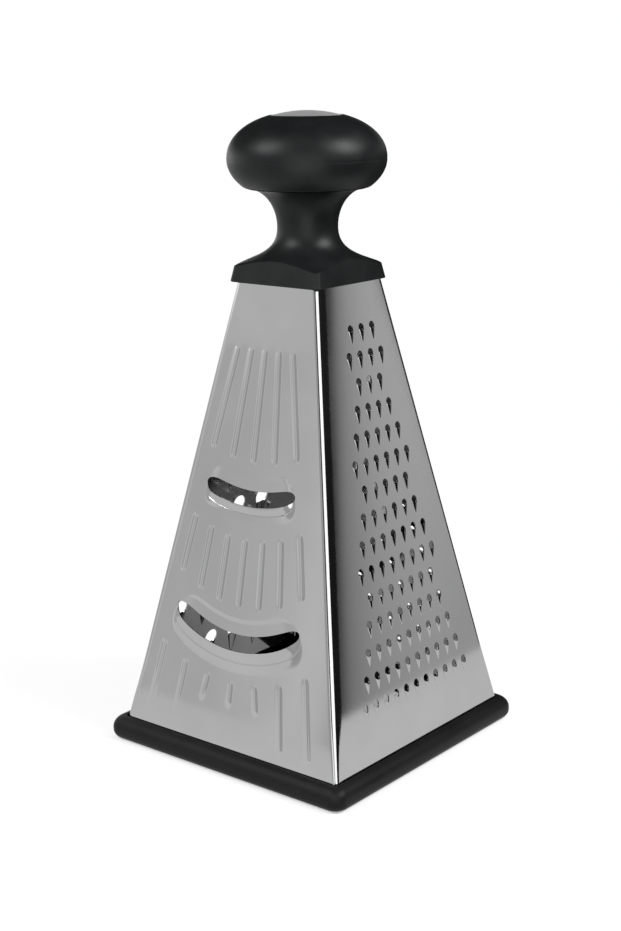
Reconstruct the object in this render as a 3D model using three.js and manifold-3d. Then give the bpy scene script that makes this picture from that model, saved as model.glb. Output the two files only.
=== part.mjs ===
// Four-sided tower grater: stamped steel panels on a rubber base rim, under a mushroom knob.
// Millimetres, +Z up, origin at the middle of the base rim's underside.
// The slicing panel faces -Y, the medium panel +X, the fine panel +Y and the coarse panel -X.
import * as THREE from 'three';
import { mergeVertices } from 'three/addons/utils/BufferGeometryUtils.js';
import Module from 'manifold-3d';

// Clearance between pieces that meet.
const GAP = 0.3;

// Steel body, measured where it leaves the base rim and where it enters the collar.
const BODY_HEIGHT = 177;
const BODY_HALF_LOW = 54.85;
const BODY_HALF_HIGH = 20.5;
const SHEET = 0.5;
const BEND_RADIUS = 1.8;
const LAP_WIDTH = 6;
const TAB_DEPTH = 7;

// Rubber base rim.
const RIM_HEIGHT = 9.5;
const RIM_OVERHANG = 5.5;
const RIM_CORNER_RADIUS = 5.5;
const RIM_TOP_ROUND = 4.8;
const RIM_FOOT_ROUND = 3.6;
const RIM_INNER_WALL = 2;
const RIM_FLOOR = 1.7;

// Square collar and waisted neck, one moulding.
const COLLAR_LAP = 3;
const COLLAR_LIP = 0.8;
const COLLAR_CORNER_HEIGHT = 5.4;
const FLARE_HANDLE_RADIUS = 17.1;
const FLARE_HANDLE_HEIGHT = 9.5;
const WAIST_RADIUS = 11.7;
const WAIST_HEIGHT = 20.4;
const WAIST_HANDLE = 8;
const NECK_TOP_RADIUS = 23;
const NECK_FLARE_HEIGHT = 14.4;
const SPIGOT_RADIUS = 9;
const SPIGOT_HEIGHT = 5;

// Mushroom knob: two half ellipsoids on one equator.
const KNOB_RADIUS = 30.5;
const KNOB_FOOT_RADIUS = 24;
const KNOB_LOWER_RISE = 17.1;
const KNOB_UPPER_RISE = 17.8;
const DISC_RADIUS = 13.8;
const DISC_EDGE = 1.9;

// Bolt through knob, neck and clamp plate.
const BOLT_RADIUS = 3;
const HEAD_RADIUS = 5;
const HEAD_HEIGHT = 3.2;
const HEAD_SINK = 1;
const WASHER_RADIUS = 6.4;
const WASHER_THICKNESS = 1.2;
const CLAMP_THICKNESS = 2;
const LOCK_WASHER_RADIUS = 5.5;
const LOCK_WASHER_THICKNESS = 1.6;
const NUT_ACROSS_FLATS = 10;
const NUT_HEIGHT = 5;
const BOLT_TAIL = 2.5;

// Grating teeth: a round mouth whose lower lip is drawn out into a pointed hood.
const MEDIUM_MOUTH_RADIUS = 1.85;
const MEDIUM_HOOD_HEIGHT = 1.5;
const MEDIUM_HOOD_LENGTH = 5;
const MEDIUM_COLUMN_PITCH = 6.65;
const MEDIUM_ROW_PITCH = 10.17;
const MEDIUM_FIRST_ROW = 22;
const MEDIUM_TOP_MARGIN = 14;
const MEDIUM_SIDE_MARGIN_LOW = 17.3;
const MEDIUM_SIDE_MARGIN_HIGH = 14.8;
const MEDIUM_OFFSET = 2.4;

const COARSE_MOUTH_RADIUS = 3.7;
const COARSE_HOOD_HEIGHT = 2.6;
const COARSE_HOOD_LENGTH = 12.4;
const COARSE_COLUMN_PITCH = 14.5;
const COARSE_ROW_PITCH = 20.3;
const COARSE_FIRST_ROW = 22.4;
const COARSE_TOP_MARGIN = 30;
const COARSE_SIDE_MARGIN_LOW = 13.2;
const COARSE_SIDE_MARGIN_HIGH = 13.2;
const COARSE_OFFSET = 0;

const FINE_MOUTH_RADIUS = 1.1;
const FINE_HOOD_HEIGHT = 0.9;
const FINE_HOOD_LENGTH = 2.8;
const FINE_COLUMN_PITCH = 7;
const FINE_ROW_PITCH = 9.4;
const FINE_FIRST_ROW = 16;
const FINE_TOP_MARGIN = 14;
const FINE_SIDE_MARGIN_LOW = 14;
const FINE_SIDE_MARGIN_HIGH = 13;
const FINE_OFFSET = 0;

// Slicing panel: two curved slots, each with a drawn blade below and a dish above.
const SLICER_OFFSET = -1.1;
const UPPER_SLOT_LEVEL = 98.8;
const UPPER_SLOT_ARC = 61.5;
const UPPER_SLOT_SPAN = 44.2;
const UPPER_SLOT_WIDTH = 6.1;
const UPPER_BLADE_LENGTH = 7.2;
const LOWER_SLOT_LEVEL = 42.3;
const LOWER_SLOT_ARC = 54.6;
const LOWER_SLOT_SPAN = 62.4;
const LOWER_SLOT_WIDTH = 6.4;
const LOWER_BLADE_LENGTH = 10;
const BLADE_HEIGHT = 2.2;
const DISH_LENGTH = 5.9;
const DISH_DEPTH = 0.9;
const BLADE_RAMP = 0.3;

// Stiffening ribs, in three fans between and beside the slots.
const RIB_WIDTH = 2.4;
const RIB_HEIGHT = 0.8;
const RIB_CREST = 0.45;
const UPPER_RIB_MARGIN = 24.8;
const UPPER_RIB_TOP_PITCH = 6.8;
const UPPER_RIB_FOOT_PITCH = 10.4;
const RIB_SLOT_CLEARANCE = 14.5;
const MIDDLE_RIB_TOP_PITCH = 8.8;
const MIDDLE_RIB_FOOT_PITCH = 10.1;
const BLADE_RIB_CLEARANCE = 16.2;
const LOWER_RIB_TOP_PITCH = 12.1;
const LOWER_RIB_FOOT_PITCH = 13.8;
const LOWER_RIB_ARC = 76;
const LOWER_RIB_FOOT = 5;
const LOWER_RIB_SHORT_FOOT = 17.5;

// Facet counts.
const ROUND_SEGMENTS = 32;
const CORNER_SEGMENTS = 4;
const BEND_SEGMENTS = 4;
const CURVE_SEGMENTS = 7;
const BLADE_SEGMENTS = 12;
const BOW = 1e-5;

// Heights and slopes that follow from the sizes above.
const TAPER = (BODY_HALF_LOW - BODY_HALF_HIGH) / BODY_HEIGHT;
const TILT = Math.atan(TAPER);
const SLOPE_LENGTH = BODY_HEIGHT / Math.cos(TILT);
const PANEL_FOOT = RIM_FLOOR + GAP;
const COLLAR_FOOT = RIM_HEIGHT + BODY_HEIGHT;
const PANEL_TOP = COLLAR_FOOT + COLLAR_LAP;
const BACK = -SHEET * Math.cos(TILT);
const TUCK = SHEET + GAP;
const SEAM_FROM_CORNER = BEND_RADIUS + TUCK;
const LAYERED_WALL = 2 * SHEET + GAP;
const WAIST_LEVEL = COLLAR_FOOT + WAIST_HEIGHT;
const NECK_TOP = WAIST_LEVEL + NECK_FLARE_HEIGHT;
const KNOB_FOOT = NECK_TOP + GAP;
const KNOB_FOOT_DROP = KNOB_LOWER_RISE * Math.sqrt(1 - (KNOB_FOOT_RADIUS / KNOB_RADIUS) ** 2);
const KNOB_EQUATOR = KNOB_FOOT + KNOB_FOOT_DROP;
const DISC_TOP_EDGE = domeHeight(DISC_RADIUS);
const DISC_FOOT = DISC_TOP_EDGE - DISC_EDGE;
const DISC_POCKET = DISC_FOOT - GAP;
const HEAD_TOP = DISC_POCKET - HEAD_SINK;
const HEAD_FOOT = HEAD_TOP - HEAD_HEIGHT;
const WASHER_FOOT = HEAD_FOOT - GAP - WASHER_THICKNESS;
const CLAMP_TOP = PANEL_TOP - SHEET - GAP;
const CLAMP_FOOT = CLAMP_TOP - CLAMP_THICKNESS;
const LOCK_WASHER_FOOT = CLAMP_FOOT - GAP - LOCK_WASHER_THICKNESS;
const NUT_FOOT = LOCK_WASHER_FOOT - GAP - NUT_HEIGHT;
const BOLT_END = NUT_FOOT - BOLT_TAIL;

const wasm = await Module();
wasm.setup();

// Outside half width of the steel body at a height.
function bodyHalf(z) {
  return BODY_HALF_LOW - TAPER * (z - RIM_HEIGHT);
}

// Height of the knob's upper ellipsoid at a radius.
function domeHeight(radius) {
  return KNOB_EQUATOR + KNOB_UPPER_RISE * Math.sqrt(1 - (radius / KNOB_RADIUS) ** 2);
}

// Welds a closed geometry's corners and turns its faces outwards.
function closed(geometry) {
  const bare = new THREE.BufferGeometry();
  bare.setAttribute('position', geometry.getAttribute('position'));
  if (geometry.index) bare.setIndex(geometry.index);
  const welded = mergeVertices(bare);
  const place = welded.getAttribute('position');
  const corners = Array.from(welded.index.array);
  const kept = [];
  let volume = 0;
  for (let i = 0; i < corners.length; i += 3) {
    const [a, b, c] = corners.slice(i, i + 3);
    if (a === b || b === c || c === a) continue;
    const p = new THREE.Vector3().fromBufferAttribute(place, a);
    const q = new THREE.Vector3().fromBufferAttribute(place, b);
    const r = new THREE.Vector3().fromBufferAttribute(place, c);
    volume += p.dot(q.cross(r));
    kept.push([a, b, c]);
  }
  welded.setIndex(kept.flatMap(([a, b, c]) => (volume > 0 ? [a, b, c] : [a, c, b])));
  return welded;
}

// A closed geometry as a solid that can be joined and cut.
function solid(geometry) {
  const shell = closed(geometry);
  const vertProperties = Float32Array.from(shell.getAttribute('position').array);
  const triVerts = Uint32Array.from(shell.index.array);
  return new wasm.Manifold(new wasm.Mesh({ numProp: 3, vertProperties, triVerts }));
}

function geometryOf(body) {
  const mesh = body.getMesh();
  const geometry = new THREE.BufferGeometry();
  geometry.setAttribute('position', new THREE.BufferAttribute(mesh.vertProperties, 3));
  geometry.setIndex(new THREE.BufferAttribute(mesh.triVerts, 1));
  return geometry;
}

// Closed ring swept through rows of equal loops.
function ringSkin(loops) {
  const count = loops[0].length;
  const index = [];
  for (let row = 0; row < loops.length; row += 1) {
    const low = row * count;
    const high = ((row + 1) % loops.length) * count;
    for (let k = 0; k < count; k += 1) {
      const next = (k + 1) % count;
      index.push(low + k, low + next, high + next, low + k, high + next, high + k);
    }
  }
  return new THREE.BufferGeometry().setFromPoints(loops.flat()).setIndex(index);
}

// Revolved solid from a closed outline of [radius, height] points.
function revolved(outline, segments = ROUND_SEGMENTS) {
  const points = [...outline, outline[0]].map(([radius, z]) => new THREE.Vector2(radius, z));
  return new THREE.LatheGeometry(points, segments).rotateX(Math.PI / 2);
}

// Points of an ellipse quarter about [0, level], from one angle to another.
function ellipsePoints(level, radius, rise, from, to) {
  const curve = new THREE.EllipseCurve(0, level, radius, rise, from, to, from > to);
  return curve.getPoints(CURVE_SEGMENTS).map((point) => [point.x, point.y]);
}

function ringOutline(inner, outer, low, high) {
  return [[inner, low], [outer, low], [outer, high], [inner, high]];
}

// Square pyramid frustum about the vertical axis.
function squareFrustum(halfLow, halfHigh, low, high) {
  const corner = Math.SQRT2;
  const frustum = new THREE.CylinderGeometry(halfHigh * corner, halfLow * corner, high - low, 4);
  return frustum.rotateX(Math.PI / 2).rotateZ(Math.PI / 4).translate(0, 0, (low + high) / 2);
}

// Loop of a rounded square at one height.
function roundedSquare(half, radius, z) {
  const loop = [];
  for (let corner = 0; corner < 4; corner += 1) {
    const turn = (corner * Math.PI) / 2;
    for (let k = 0; k <= CORNER_SEGMENTS; k += 1) {
      const angle = (k / CORNER_SEGMENTS) * (Math.PI / 2);
      const x = half - radius + radius * Math.cos(angle);
      const y = half - radius + radius * Math.sin(angle);
      loop.push(new THREE.Vector3(x, y, z).applyAxisAngle(new THREE.Vector3(0, 0, 1), turn));
    }
  }
  return loop;
}

// Base rim: a bullnosed ring with a deep groove that the steel stands in.
function baseRim() {
  const outer = bodyHalf(RIM_HEIGHT) + RIM_OVERHANG;
  const topRound = Math.min(RIM_TOP_ROUND, RIM_OVERHANG - GAP);
  const footRound = Math.min(RIM_FOOT_ROUND, RIM_HEIGHT - topRound);
  const grooveIn = LAYERED_WALL + GAP;
  const inside = bodyHalf(RIM_HEIGHT) - grooveIn - RIM_INNER_WALL;
  const grooveCorner = BEND_RADIUS + GAP;
  const innerCorner = RIM_INNER_WALL / 2;
  const rows = [];
  const top = new THREE.EllipseCurve(outer - topRound, RIM_HEIGHT - topRound,
    topRound, topRound, Math.PI / 2, 0, true);
  const foot = new THREE.EllipseCurve(outer - footRound, footRound,
    footRound, footRound, 0, -Math.PI / 2, true);
  rows.push([bodyHalf(RIM_HEIGHT) + GAP, RIM_HEIGHT, grooveCorner]);
  for (const point of [...top.getPoints(CORNER_SEGMENTS), ...foot.getPoints(CORNER_SEGMENTS)]) {
    rows.push([point.x, point.y, RIM_CORNER_RADIUS - (outer - point.x) / 2]);
  }
  rows.push([inside, 0, innerCorner]);
  rows.push([inside, RIM_HEIGHT - GAP, innerCorner]);
  rows.push([bodyHalf(RIM_HEIGHT) - grooveIn, RIM_HEIGHT - GAP, innerCorner]);
  rows.push([bodyHalf(RIM_FLOOR) - grooveIn, RIM_FLOOR, innerCorner]);
  rows.push([bodyHalf(RIM_FLOOR) + GAP, RIM_FLOOR, grooveCorner]);
  return closed(ringSkin(rows.map(([half, z, radius]) => roundedSquare(half, radius, z))));
}

// Cross-section of one panel at a height: plain right edge, bent left corner, tucked lap flange.
function panelSection(z) {
  const half = bodyHalf(z);
  const bend = new THREE.Vector2(-half + BEND_RADIUS, -half + BEND_RADIUS);
  const arc = (radius) => new THREE.EllipseCurve(bend.x, bend.y, radius, radius, -Math.PI / 2, -Math.PI, true)
    .getPoints(BEND_SEGMENTS);
  const lapStart = -half + SEAM_FROM_CORNER;
  const lapEnd = lapStart + GAP + LAP_WIDTH;
  const mitre = SHEET * Math.tan(Math.PI / 8);
  const outer = [
    new THREE.Vector2(half - SEAM_FROM_CORNER - GAP, -half),
    ...arc(BEND_RADIUS),
    new THREE.Vector2(-half + TUCK, lapStart),
    new THREE.Vector2(-half + TUCK, lapEnd),
  ];
  const inner = [
    new THREE.Vector2(half - SEAM_FROM_CORNER - GAP, -half + SHEET),
    ...arc(BEND_RADIUS - SHEET),
    new THREE.Vector2(-half + TUCK + SHEET, lapStart + mitre),
    new THREE.Vector2(-half + TUCK + SHEET, lapEnd),
  ];
  return [...inner, ...outer.reverse()];
}

// Place of a point of the panel's plane on the panel that faces -Y.
// In the plane, x runs across, y up the slope from the rim, out away from the sheet.
function panelPoint(x, y, out) {
  const depth = -BODY_HALF_LOW + y * Math.sin(TILT) - out * Math.cos(TILT);
  return new THREE.Vector3(x, depth, RIM_HEIGHT + y * Math.cos(TILT) + out * Math.sin(TILT));
}

// The reverse: where a point of the model lies in the panel's plane, slightly bowed,
// so that no row of corners lies on one line and every corner is kept by the triangulation.
function inPlane(point) {
  const back = point.y + BODY_HALF_LOW;
  const up = point.z - RIM_HEIGHT;
  const rise = back * Math.sin(TILT) + up * Math.cos(TILT);
  return new THREE.Vector2(point.x + BOW * rise ** 2, rise + BOW * point.x ** 2);
}

// Growing list of corners and triangles for one pressed sheet.
class Skin {
  constructor() {
    this.points = [];
    this.index = [];
  }

  corner(point) {
    this.points.push(point);
    return this.points.length - 1;
  }

  // Loop of corners from [x, y] pairs of the panel's plane, all at one height out of it.
  loop(outline, out) {
    return outline.map(([x, y]) => this.corner(panelPoint(x, y, out)));
  }

  // Four-sided face, or the mirrored one for the sheet's other side.
  quad(a, b, c, d, flip = false) {
    if (flip) this.index.push(a, c, b, a, d, c);
    else this.index.push(a, b, c, a, c, d);
  }

  triangle(a, b, c, flip = false) {
    if (flip) this.index.push(a, c, b);
    else this.index.push(a, b, c);
  }

  // Flat face inside a border of corners, with a hole for each pressed feature.
  flat(border, holes, flip) {
    const outline = (loop) => loop.map((corner) => inPlane(this.points[corner]));
    const corners = [border, ...holes].flat();
    for (const face of THREE.ShapeUtils.triangulateShape(outline(border), holes.map(outline))) {
      this.triangle(...face.map((k) => corners[k]), flip);
    }
  }

  geometry() {
    const geometry = new THREE.BufferGeometry().setFromPoints(this.points);
    return geometry.setIndex(this.index);
  }
}

// One pressed panel, facing -Y: bent sheet, pressed features, and a tab folded in at its top.
// Each feature draws itself on the skin and returns the loops that it leaves open in the flat.
function pressedPanel(features) {
  const skin = new Skin();
  const level = (z) => panelSection(z).map((p) => skin.corner(new THREE.Vector3(p.x, p.y, z)));
  const low = level(PANEL_FOOT);
  const high = level(PANEL_TOP);
  const last = low.length - 2;
  for (let k = 1; k < low.length; k += 1) {
    const next = (k + 1) % low.length;
    if (k !== last) skin.quad(low[k], low[next], high[next], high[k]);
  }
  for (const [a, b, c] of THREE.ShapeUtils.triangulateShape(panelSection(PANEL_FOOT), [])) {
    skin.triangle(low[a], low[b], low[c], true);
    skin.triangle(high[a], high[b], high[c]);
  }
  const pressed = features.map((feature) => feature(skin));
  const front = [low[last], low[last + 1], high[last + 1], high[last]];
  skin.flat(front, pressed.map((loops) => loops.front), false);
  skin.flat([low[1], low[0], high[0], high[1]], pressed.map((loops) => loops.back), true);
  const wall = bodyHalf(PANEL_TOP) - SHEET / 2;
  const besideLaps = bodyHalf(PANEL_TOP) - SEAM_FROM_CORNER - LAP_WIDTH - 3 * GAP;
  const tabHalf = Math.min(besideLaps, wall - TAB_DEPTH - GAP);
  const tab = new THREE.BoxGeometry(2 * tabHalf, TAB_DEPTH, SHEET);
  tab.translate(0, -wall + TAB_DEPTH / 2, PANEL_TOP - SHEET / 2);
  return geometryOf(solid(skin.geometry()).add(solid(tab)));
}

// One tooth: a round mouth, and below it a hood that rises from a point to the cutting edge.
function tooth(x, y, mouthRadius, hoodHeight, hoodLength, sides) {
  return (skin) => {
    const arc = [];
    for (let k = 0; k <= sides; k += 1) arc.push((k / sides) * Math.PI);
    const rim = arc.map((angle) => [x + mouthRadius * Math.cos(angle), y + mouthRadius * Math.sin(angle)]);
    const mouth = skin.loop(rim, 0);
    const mouthBack = skin.loop(rim, BACK);
    const [tip] = skin.loop([[x, y - hoodLength]], 0);
    const [tipBack] = skin.loop([[x, y - hoodLength + SHEET]], BACK);
    const edge = [...mouth];
    const edgeBack = [...mouthBack];
    for (let k = 1; k < sides; k += 1) {
      const across = x + mouthRadius * Math.cos(arc[k]);
      const out = hoodHeight * Math.sin(arc[k]);
      edge[k] = skin.corner(panelPoint(across, y, out));
      edgeBack[k] = skin.corner(panelPoint(across, y, out + BACK));
    }
    for (let k = 0; k < sides; k += 1) {
      skin.triangle(tip, edge[k], edge[k + 1]);
      skin.triangle(tipBack, edgeBack[k], edgeBack[k + 1], true);
      skin.quad(edge[k + 1], edge[k], edgeBack[k], edgeBack[k + 1]);
      skin.quad(mouth[k], mouth[k + 1], mouthBack[k + 1], mouthBack[k]);
    }
    return { front: [...mouth, tip], back: [...mouthBack, tipBack] };
  };
}

// Grating panel: staggered rows of teeth, as many in each row as fit between the side margins.
function gratingPanel(teeth) {
  const features = [];
  const rows = Math.floor((SLOPE_LENGTH - teeth.topMargin - teeth.firstRow) / teeth.rowPitch) + 1;
  for (let row = 0; row < rows; row += 1) {
    const y = teeth.firstRow + row * teeth.rowPitch;
    const rise = y / SLOPE_LENGTH;
    const margin = THREE.MathUtils.lerp(teeth.sideMarginLow, teeth.sideMarginHigh, rise);
    const reach = THREE.MathUtils.lerp(BODY_HALF_LOW, BODY_HALF_HIGH, rise) - margin;
    const stagger = (row + teeth.firstStagger) % 2 === 0 ? 0 : teeth.columnPitch / 2;
    const side = Math.floor((reach - stagger) / teeth.columnPitch);
    const first = -side * teeth.columnPitch - stagger;
    const count = stagger > 0 ? 2 * side + 2 : 2 * side + 1;
    for (let k = 0; k < count; k += 1) {
      const x = teeth.offset + first + k * teeth.columnPitch;
      features.push(tooth(x, y, teeth.mouthRadius, teeth.hoodHeight, teeth.hoodLength, teeth.sides));
    }
  }
  return pressedPanel(features);
}

// Height of a slot's middle line across the panel: an arc that sags in the middle.
function arcLevel(x, level, arcRadius) {
  return level + arcRadius - Math.sqrt(arcRadius ** 2 - (x - SLICER_OFFSET) ** 2);
}

// Curved slot: the sheet below is drawn out into a blade, the sheet above is dished in.
function slot(level, arcRadius, span, width, bladeLength) {
  const swing = Math.asin(span / 2 / arcRadius);
  const at = (radius, angle) => [
    SLICER_OFFSET + radius * Math.sin(angle), level + arcRadius - radius * Math.cos(angle)];
  const stations = [];
  for (let k = 0; k <= BLADE_SEGMENTS; k += 1) stations.push(-Math.cos((k / BLADE_SEGMENTS) * Math.PI));
  const swell = stations.map((s) => THREE.MathUtils.smoothstep(1 - Math.abs(s), 0, BLADE_RAMP));
  const spread = stations.map((s) => Math.sqrt(1 - s ** 8));
  return (skin) => {
    const row = (radiusAt, outAt) => stations.map((s, k) => {
      const [x, y] = at(radiusAt(k), s * swing);
      return skin.corner(panelPoint(x, y, outAt(k)));
    });
    const mouth = (k) => (width / 2) * spread[k];
    const foot = row((k) => arcRadius + mouth(k) + bladeLength * spread[k], () => 0);
    const footBack = row((k) => arcRadius + mouth(k) + bladeLength * spread[k], () => BACK);
    const blade = row((k) => arcRadius + mouth(k), (k) => BLADE_HEIGHT * swell[k]);
    const bladeBack = row((k) => arcRadius + mouth(k), (k) => BLADE_HEIGHT * swell[k] + BACK);
    const lip = row((k) => arcRadius - mouth(k), (k) => -DISH_DEPTH * swell[k]);
    const lipBack = row((k) => arcRadius - mouth(k), (k) => -DISH_DEPTH * swell[k] + BACK);
    const brow = row((k) => arcRadius - mouth(k) - DISH_LENGTH * spread[k], () => 0);
    const browBack = row((k) => arcRadius - mouth(k) - DISH_LENGTH * spread[k], () => BACK);
    for (let k = 0; k < BLADE_SEGMENTS; k += 1) {
      skin.quad(foot[k], foot[k + 1], blade[k + 1], blade[k]);
      skin.quad(footBack[k], footBack[k + 1], bladeBack[k + 1], bladeBack[k], true);
      skin.quad(blade[k], blade[k + 1], bladeBack[k + 1], bladeBack[k]);
      skin.quad(lip[k], lip[k + 1], brow[k + 1], brow[k]);
      skin.quad(lipBack[k], lipBack[k + 1], browBack[k + 1], browBack[k], true);
      skin.quad(lip[k], lip[k + 1], lipBack[k + 1], lipBack[k], true);
    }
    const around = (lower, upper) => [...lower, ...upper.slice(1, -1).reverse()];
    return { front: around(foot, brow), back: around(footBack, browBack) };
  };
}

// Pressed rib between two points of the panel's plane: round ends, sloping sides, a flat crest.
function rib(foot, top) {
  const along = new THREE.Vector2().subVectors(top, foot).normalize();
  const across = new THREE.Vector2(along.y, -along.x);
  const half = RIB_WIDTH / 2;
  const at = (end, side, reach) => {
    const point = end.clone().addScaledVector(across, side * half).addScaledVector(along, reach * half);
    return [point.x, point.y];
  };
  const rounding = [1, 0.6, -0.6, -1];
  const outline = [
    ...rounding.map((side) => at(top, side, Math.sqrt(1 - side * side))),
    ...rounding.map((side) => at(foot, -side, -Math.sqrt(1 - side * side))),
  ];
  const crest = [
    at(top, RIB_CREST, 0), at(top, -RIB_CREST, 0),
    at(foot, -RIB_CREST, 0), at(foot, RIB_CREST, 0),
  ];
  return (skin) => {
    const side = (out, flip) => {
      const rim = skin.loop(outline, out);
      const ridge = skin.loop(crest, out + RIB_HEIGHT);
      for (const turn of [0, 4]) {
        const [a, b, c, d, next] = [0, 1, 2, 3, 4].map((k) => rim[(turn + k) % 8]);
        const [right, left, onward] = [0, 1, 2].map((k) => ridge[(turn / 2 + k) % 4]);
        skin.triangle(a, b, right, flip);
        skin.quad(b, c, left, right, flip);
        skin.triangle(c, d, left, flip);
        skin.quad(d, next, onward, left, flip);
      }
      skin.quad(...ridge, flip);
      return rim;
    };
    return { front: side(0, false), back: side(BACK, true) };
  };
}

// Fan of ribs: `topAt` and `footAt` give the height of each rib's ends.
function ribFan(count, topPitch, footPitch, topAt, footAt) {
  const fan = [];
  for (let k = 0; k < count; k += 1) {
    const step = k - (count - 1) / 2;
    const topX = SLICER_OFFSET + step * topPitch;
    const footX = SLICER_OFFSET + step * footPitch;
    fan.push(rib(new THREE.Vector2(footX, footAt(footX, step)), new THREE.Vector2(topX, topAt(topX))));
  }
  return fan;
}

function slicingPanel() {
  const overUpper = (x) => arcLevel(x, UPPER_SLOT_LEVEL + RIB_SLOT_CLEARANCE, UPPER_SLOT_ARC);
  const underUpper = (x) => arcLevel(x, UPPER_SLOT_LEVEL - BLADE_RIB_CLEARANCE, UPPER_SLOT_ARC);
  const overLower = (x) => arcLevel(x, LOWER_SLOT_LEVEL + RIB_SLOT_CLEARANCE, LOWER_SLOT_ARC);
  const underLower = (x) => arcLevel(x, LOWER_SLOT_LEVEL - BLADE_RIB_CLEARANCE, LOWER_RIB_ARC);
  const lowerFoot = (x, step) => (Math.abs(step) > 1 ? LOWER_RIB_FOOT : LOWER_RIB_SHORT_FOOT);
  return pressedPanel([
    slot(UPPER_SLOT_LEVEL, UPPER_SLOT_ARC, UPPER_SLOT_SPAN, UPPER_SLOT_WIDTH, UPPER_BLADE_LENGTH),
    slot(LOWER_SLOT_LEVEL, LOWER_SLOT_ARC, LOWER_SLOT_SPAN, LOWER_SLOT_WIDTH, LOWER_BLADE_LENGTH),
    ...ribFan(5, UPPER_RIB_TOP_PITCH, UPPER_RIB_FOOT_PITCH, () => SLOPE_LENGTH - UPPER_RIB_MARGIN, overUpper),
    ...ribFan(7, MIDDLE_RIB_TOP_PITCH, MIDDLE_RIB_FOOT_PITCH, underUpper, overLower),
    ...ribFan(7, LOWER_RIB_TOP_PITCH, LOWER_RIB_FOOT_PITCH, underLower, lowerFoot),
  ]);
}

// Collar and neck: a flared turning whose foot is trimmed square to the body's own slope.
function neckCollar() {
  const bore = BOLT_RADIUS + GAP;
  const lipHalf = bodyHalf(COLLAR_FOOT) + GAP + COLLAR_LIP;
  const lipTop = lipHalf - TAPER * WAIST_HEIGHT;
  const reach = lipHalf * Math.SQRT2;
  const flare = new THREE.CubicBezierCurve(
    new THREE.Vector2(reach, COLLAR_FOOT + COLLAR_CORNER_HEIGHT),
    new THREE.Vector2(FLARE_HANDLE_RADIUS, COLLAR_FOOT + FLARE_HANDLE_HEIGHT),
    new THREE.Vector2(WAIST_RADIUS, WAIST_LEVEL - WAIST_HANDLE),
    new THREE.Vector2(WAIST_RADIUS, WAIST_LEVEL),
  );
  const turned = [[0, COLLAR_FOOT], [reach, COLLAR_FOOT]];
  turned.push(...flare.getPoints(2 * CURVE_SEGMENTS).map((p) => [p.x, p.y]), [0, WAIST_LEVEL]);
  const square = solid(squareFrustum(lipHalf, lipTop, COLLAR_FOOT, WAIST_LEVEL));
  const foot = solid(revolved(turned)).intersect(square);
  const neckFlare = new THREE.EllipseCurve(NECK_TOP_RADIUS, WAIST_LEVEL, NECK_TOP_RADIUS - WAIST_RADIUS,
    NECK_FLARE_HEIGHT, Math.PI, Math.PI / 2, true);
  const neck = [[0, WAIST_LEVEL], ...neckFlare.getPoints(CURVE_SEGMENTS).map((p) => [p.x, p.y])];
  const spigotTop = NECK_TOP + SPIGOT_HEIGHT;
  neck.push([SPIGOT_RADIUS, NECK_TOP], [SPIGOT_RADIUS, spigotTop], [0, spigotTop]);
  const socketTop = PANEL_TOP + GAP;
  const overrun = COLLAR_LAP;
  const socket = squareFrustum(bodyHalf(COLLAR_FOOT - overrun) + GAP, bodyHalf(socketTop) + GAP,
    COLLAR_FOOT - overrun, socketTop);
  const boltHole = revolved(ringOutline(0, bore, COLLAR_FOOT, spigotTop + SPIGOT_HEIGHT));
  const body = foot.add(solid(revolved(neck))).subtract(solid(socket)).subtract(solid(boltHole));
  return geometryOf(body);
}

// Knob: a squashed ball with a socket below, a disc pocket on top and a counterbore for the bolt.
function knobGrip() {
  const bore = BOLT_RADIUS + GAP;
  const socket = SPIGOT_RADIUS + GAP;
  const socketTop = NECK_TOP + SPIGOT_HEIGHT + GAP;
  const pocket = DISC_RADIUS + GAP;
  const sink = WASHER_RADIUS + GAP;
  const sinkFloor = WASHER_FOOT - GAP;
  const footAngle = -Math.acos(KNOB_FOOT_RADIUS / KNOB_RADIUS);
  const pocketAngle = Math.acos(pocket / KNOB_RADIUS);
  const lower = ellipsePoints(KNOB_EQUATOR, KNOB_RADIUS, KNOB_LOWER_RISE, footAngle, 0);
  const upper = ellipsePoints(KNOB_EQUATOR, KNOB_RADIUS, KNOB_UPPER_RISE, 0, pocketAngle);
  return closed(revolved([
    [bore, socketTop], [socket, socketTop], [socket, KNOB_FOOT],
    ...lower, ...upper.slice(1),
    [pocket, DISC_POCKET], [sink, DISC_POCKET], [sink, sinkFloor], [bore, sinkFloor],
  ]));
}

// Inlaid disc, domed to follow the knob.
function capDisc() {
  const edgeAngle = Math.acos(DISC_RADIUS / KNOB_RADIUS);
  const dome = ellipsePoints(KNOB_EQUATOR, KNOB_RADIUS, KNOB_UPPER_RISE, edgeAngle, Math.PI / 2);
  return closed(revolved([[0, DISC_FOOT], [DISC_RADIUS, DISC_FOOT], ...dome]));
}

function tieBolt() {
  return closed(revolved([
    [0, BOLT_END], [BOLT_RADIUS, BOLT_END], [BOLT_RADIUS, HEAD_FOOT],
    [HEAD_RADIUS, HEAD_FOOT], [HEAD_RADIUS, HEAD_TOP], [0, HEAD_TOP],
  ], ROUND_SEGMENTS / 2));
}

function washer(radius, low, thickness) {
  return closed(revolved(ringOutline(BOLT_RADIUS + GAP, radius, low, low + thickness), ROUND_SEGMENTS / 2));
}

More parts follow.
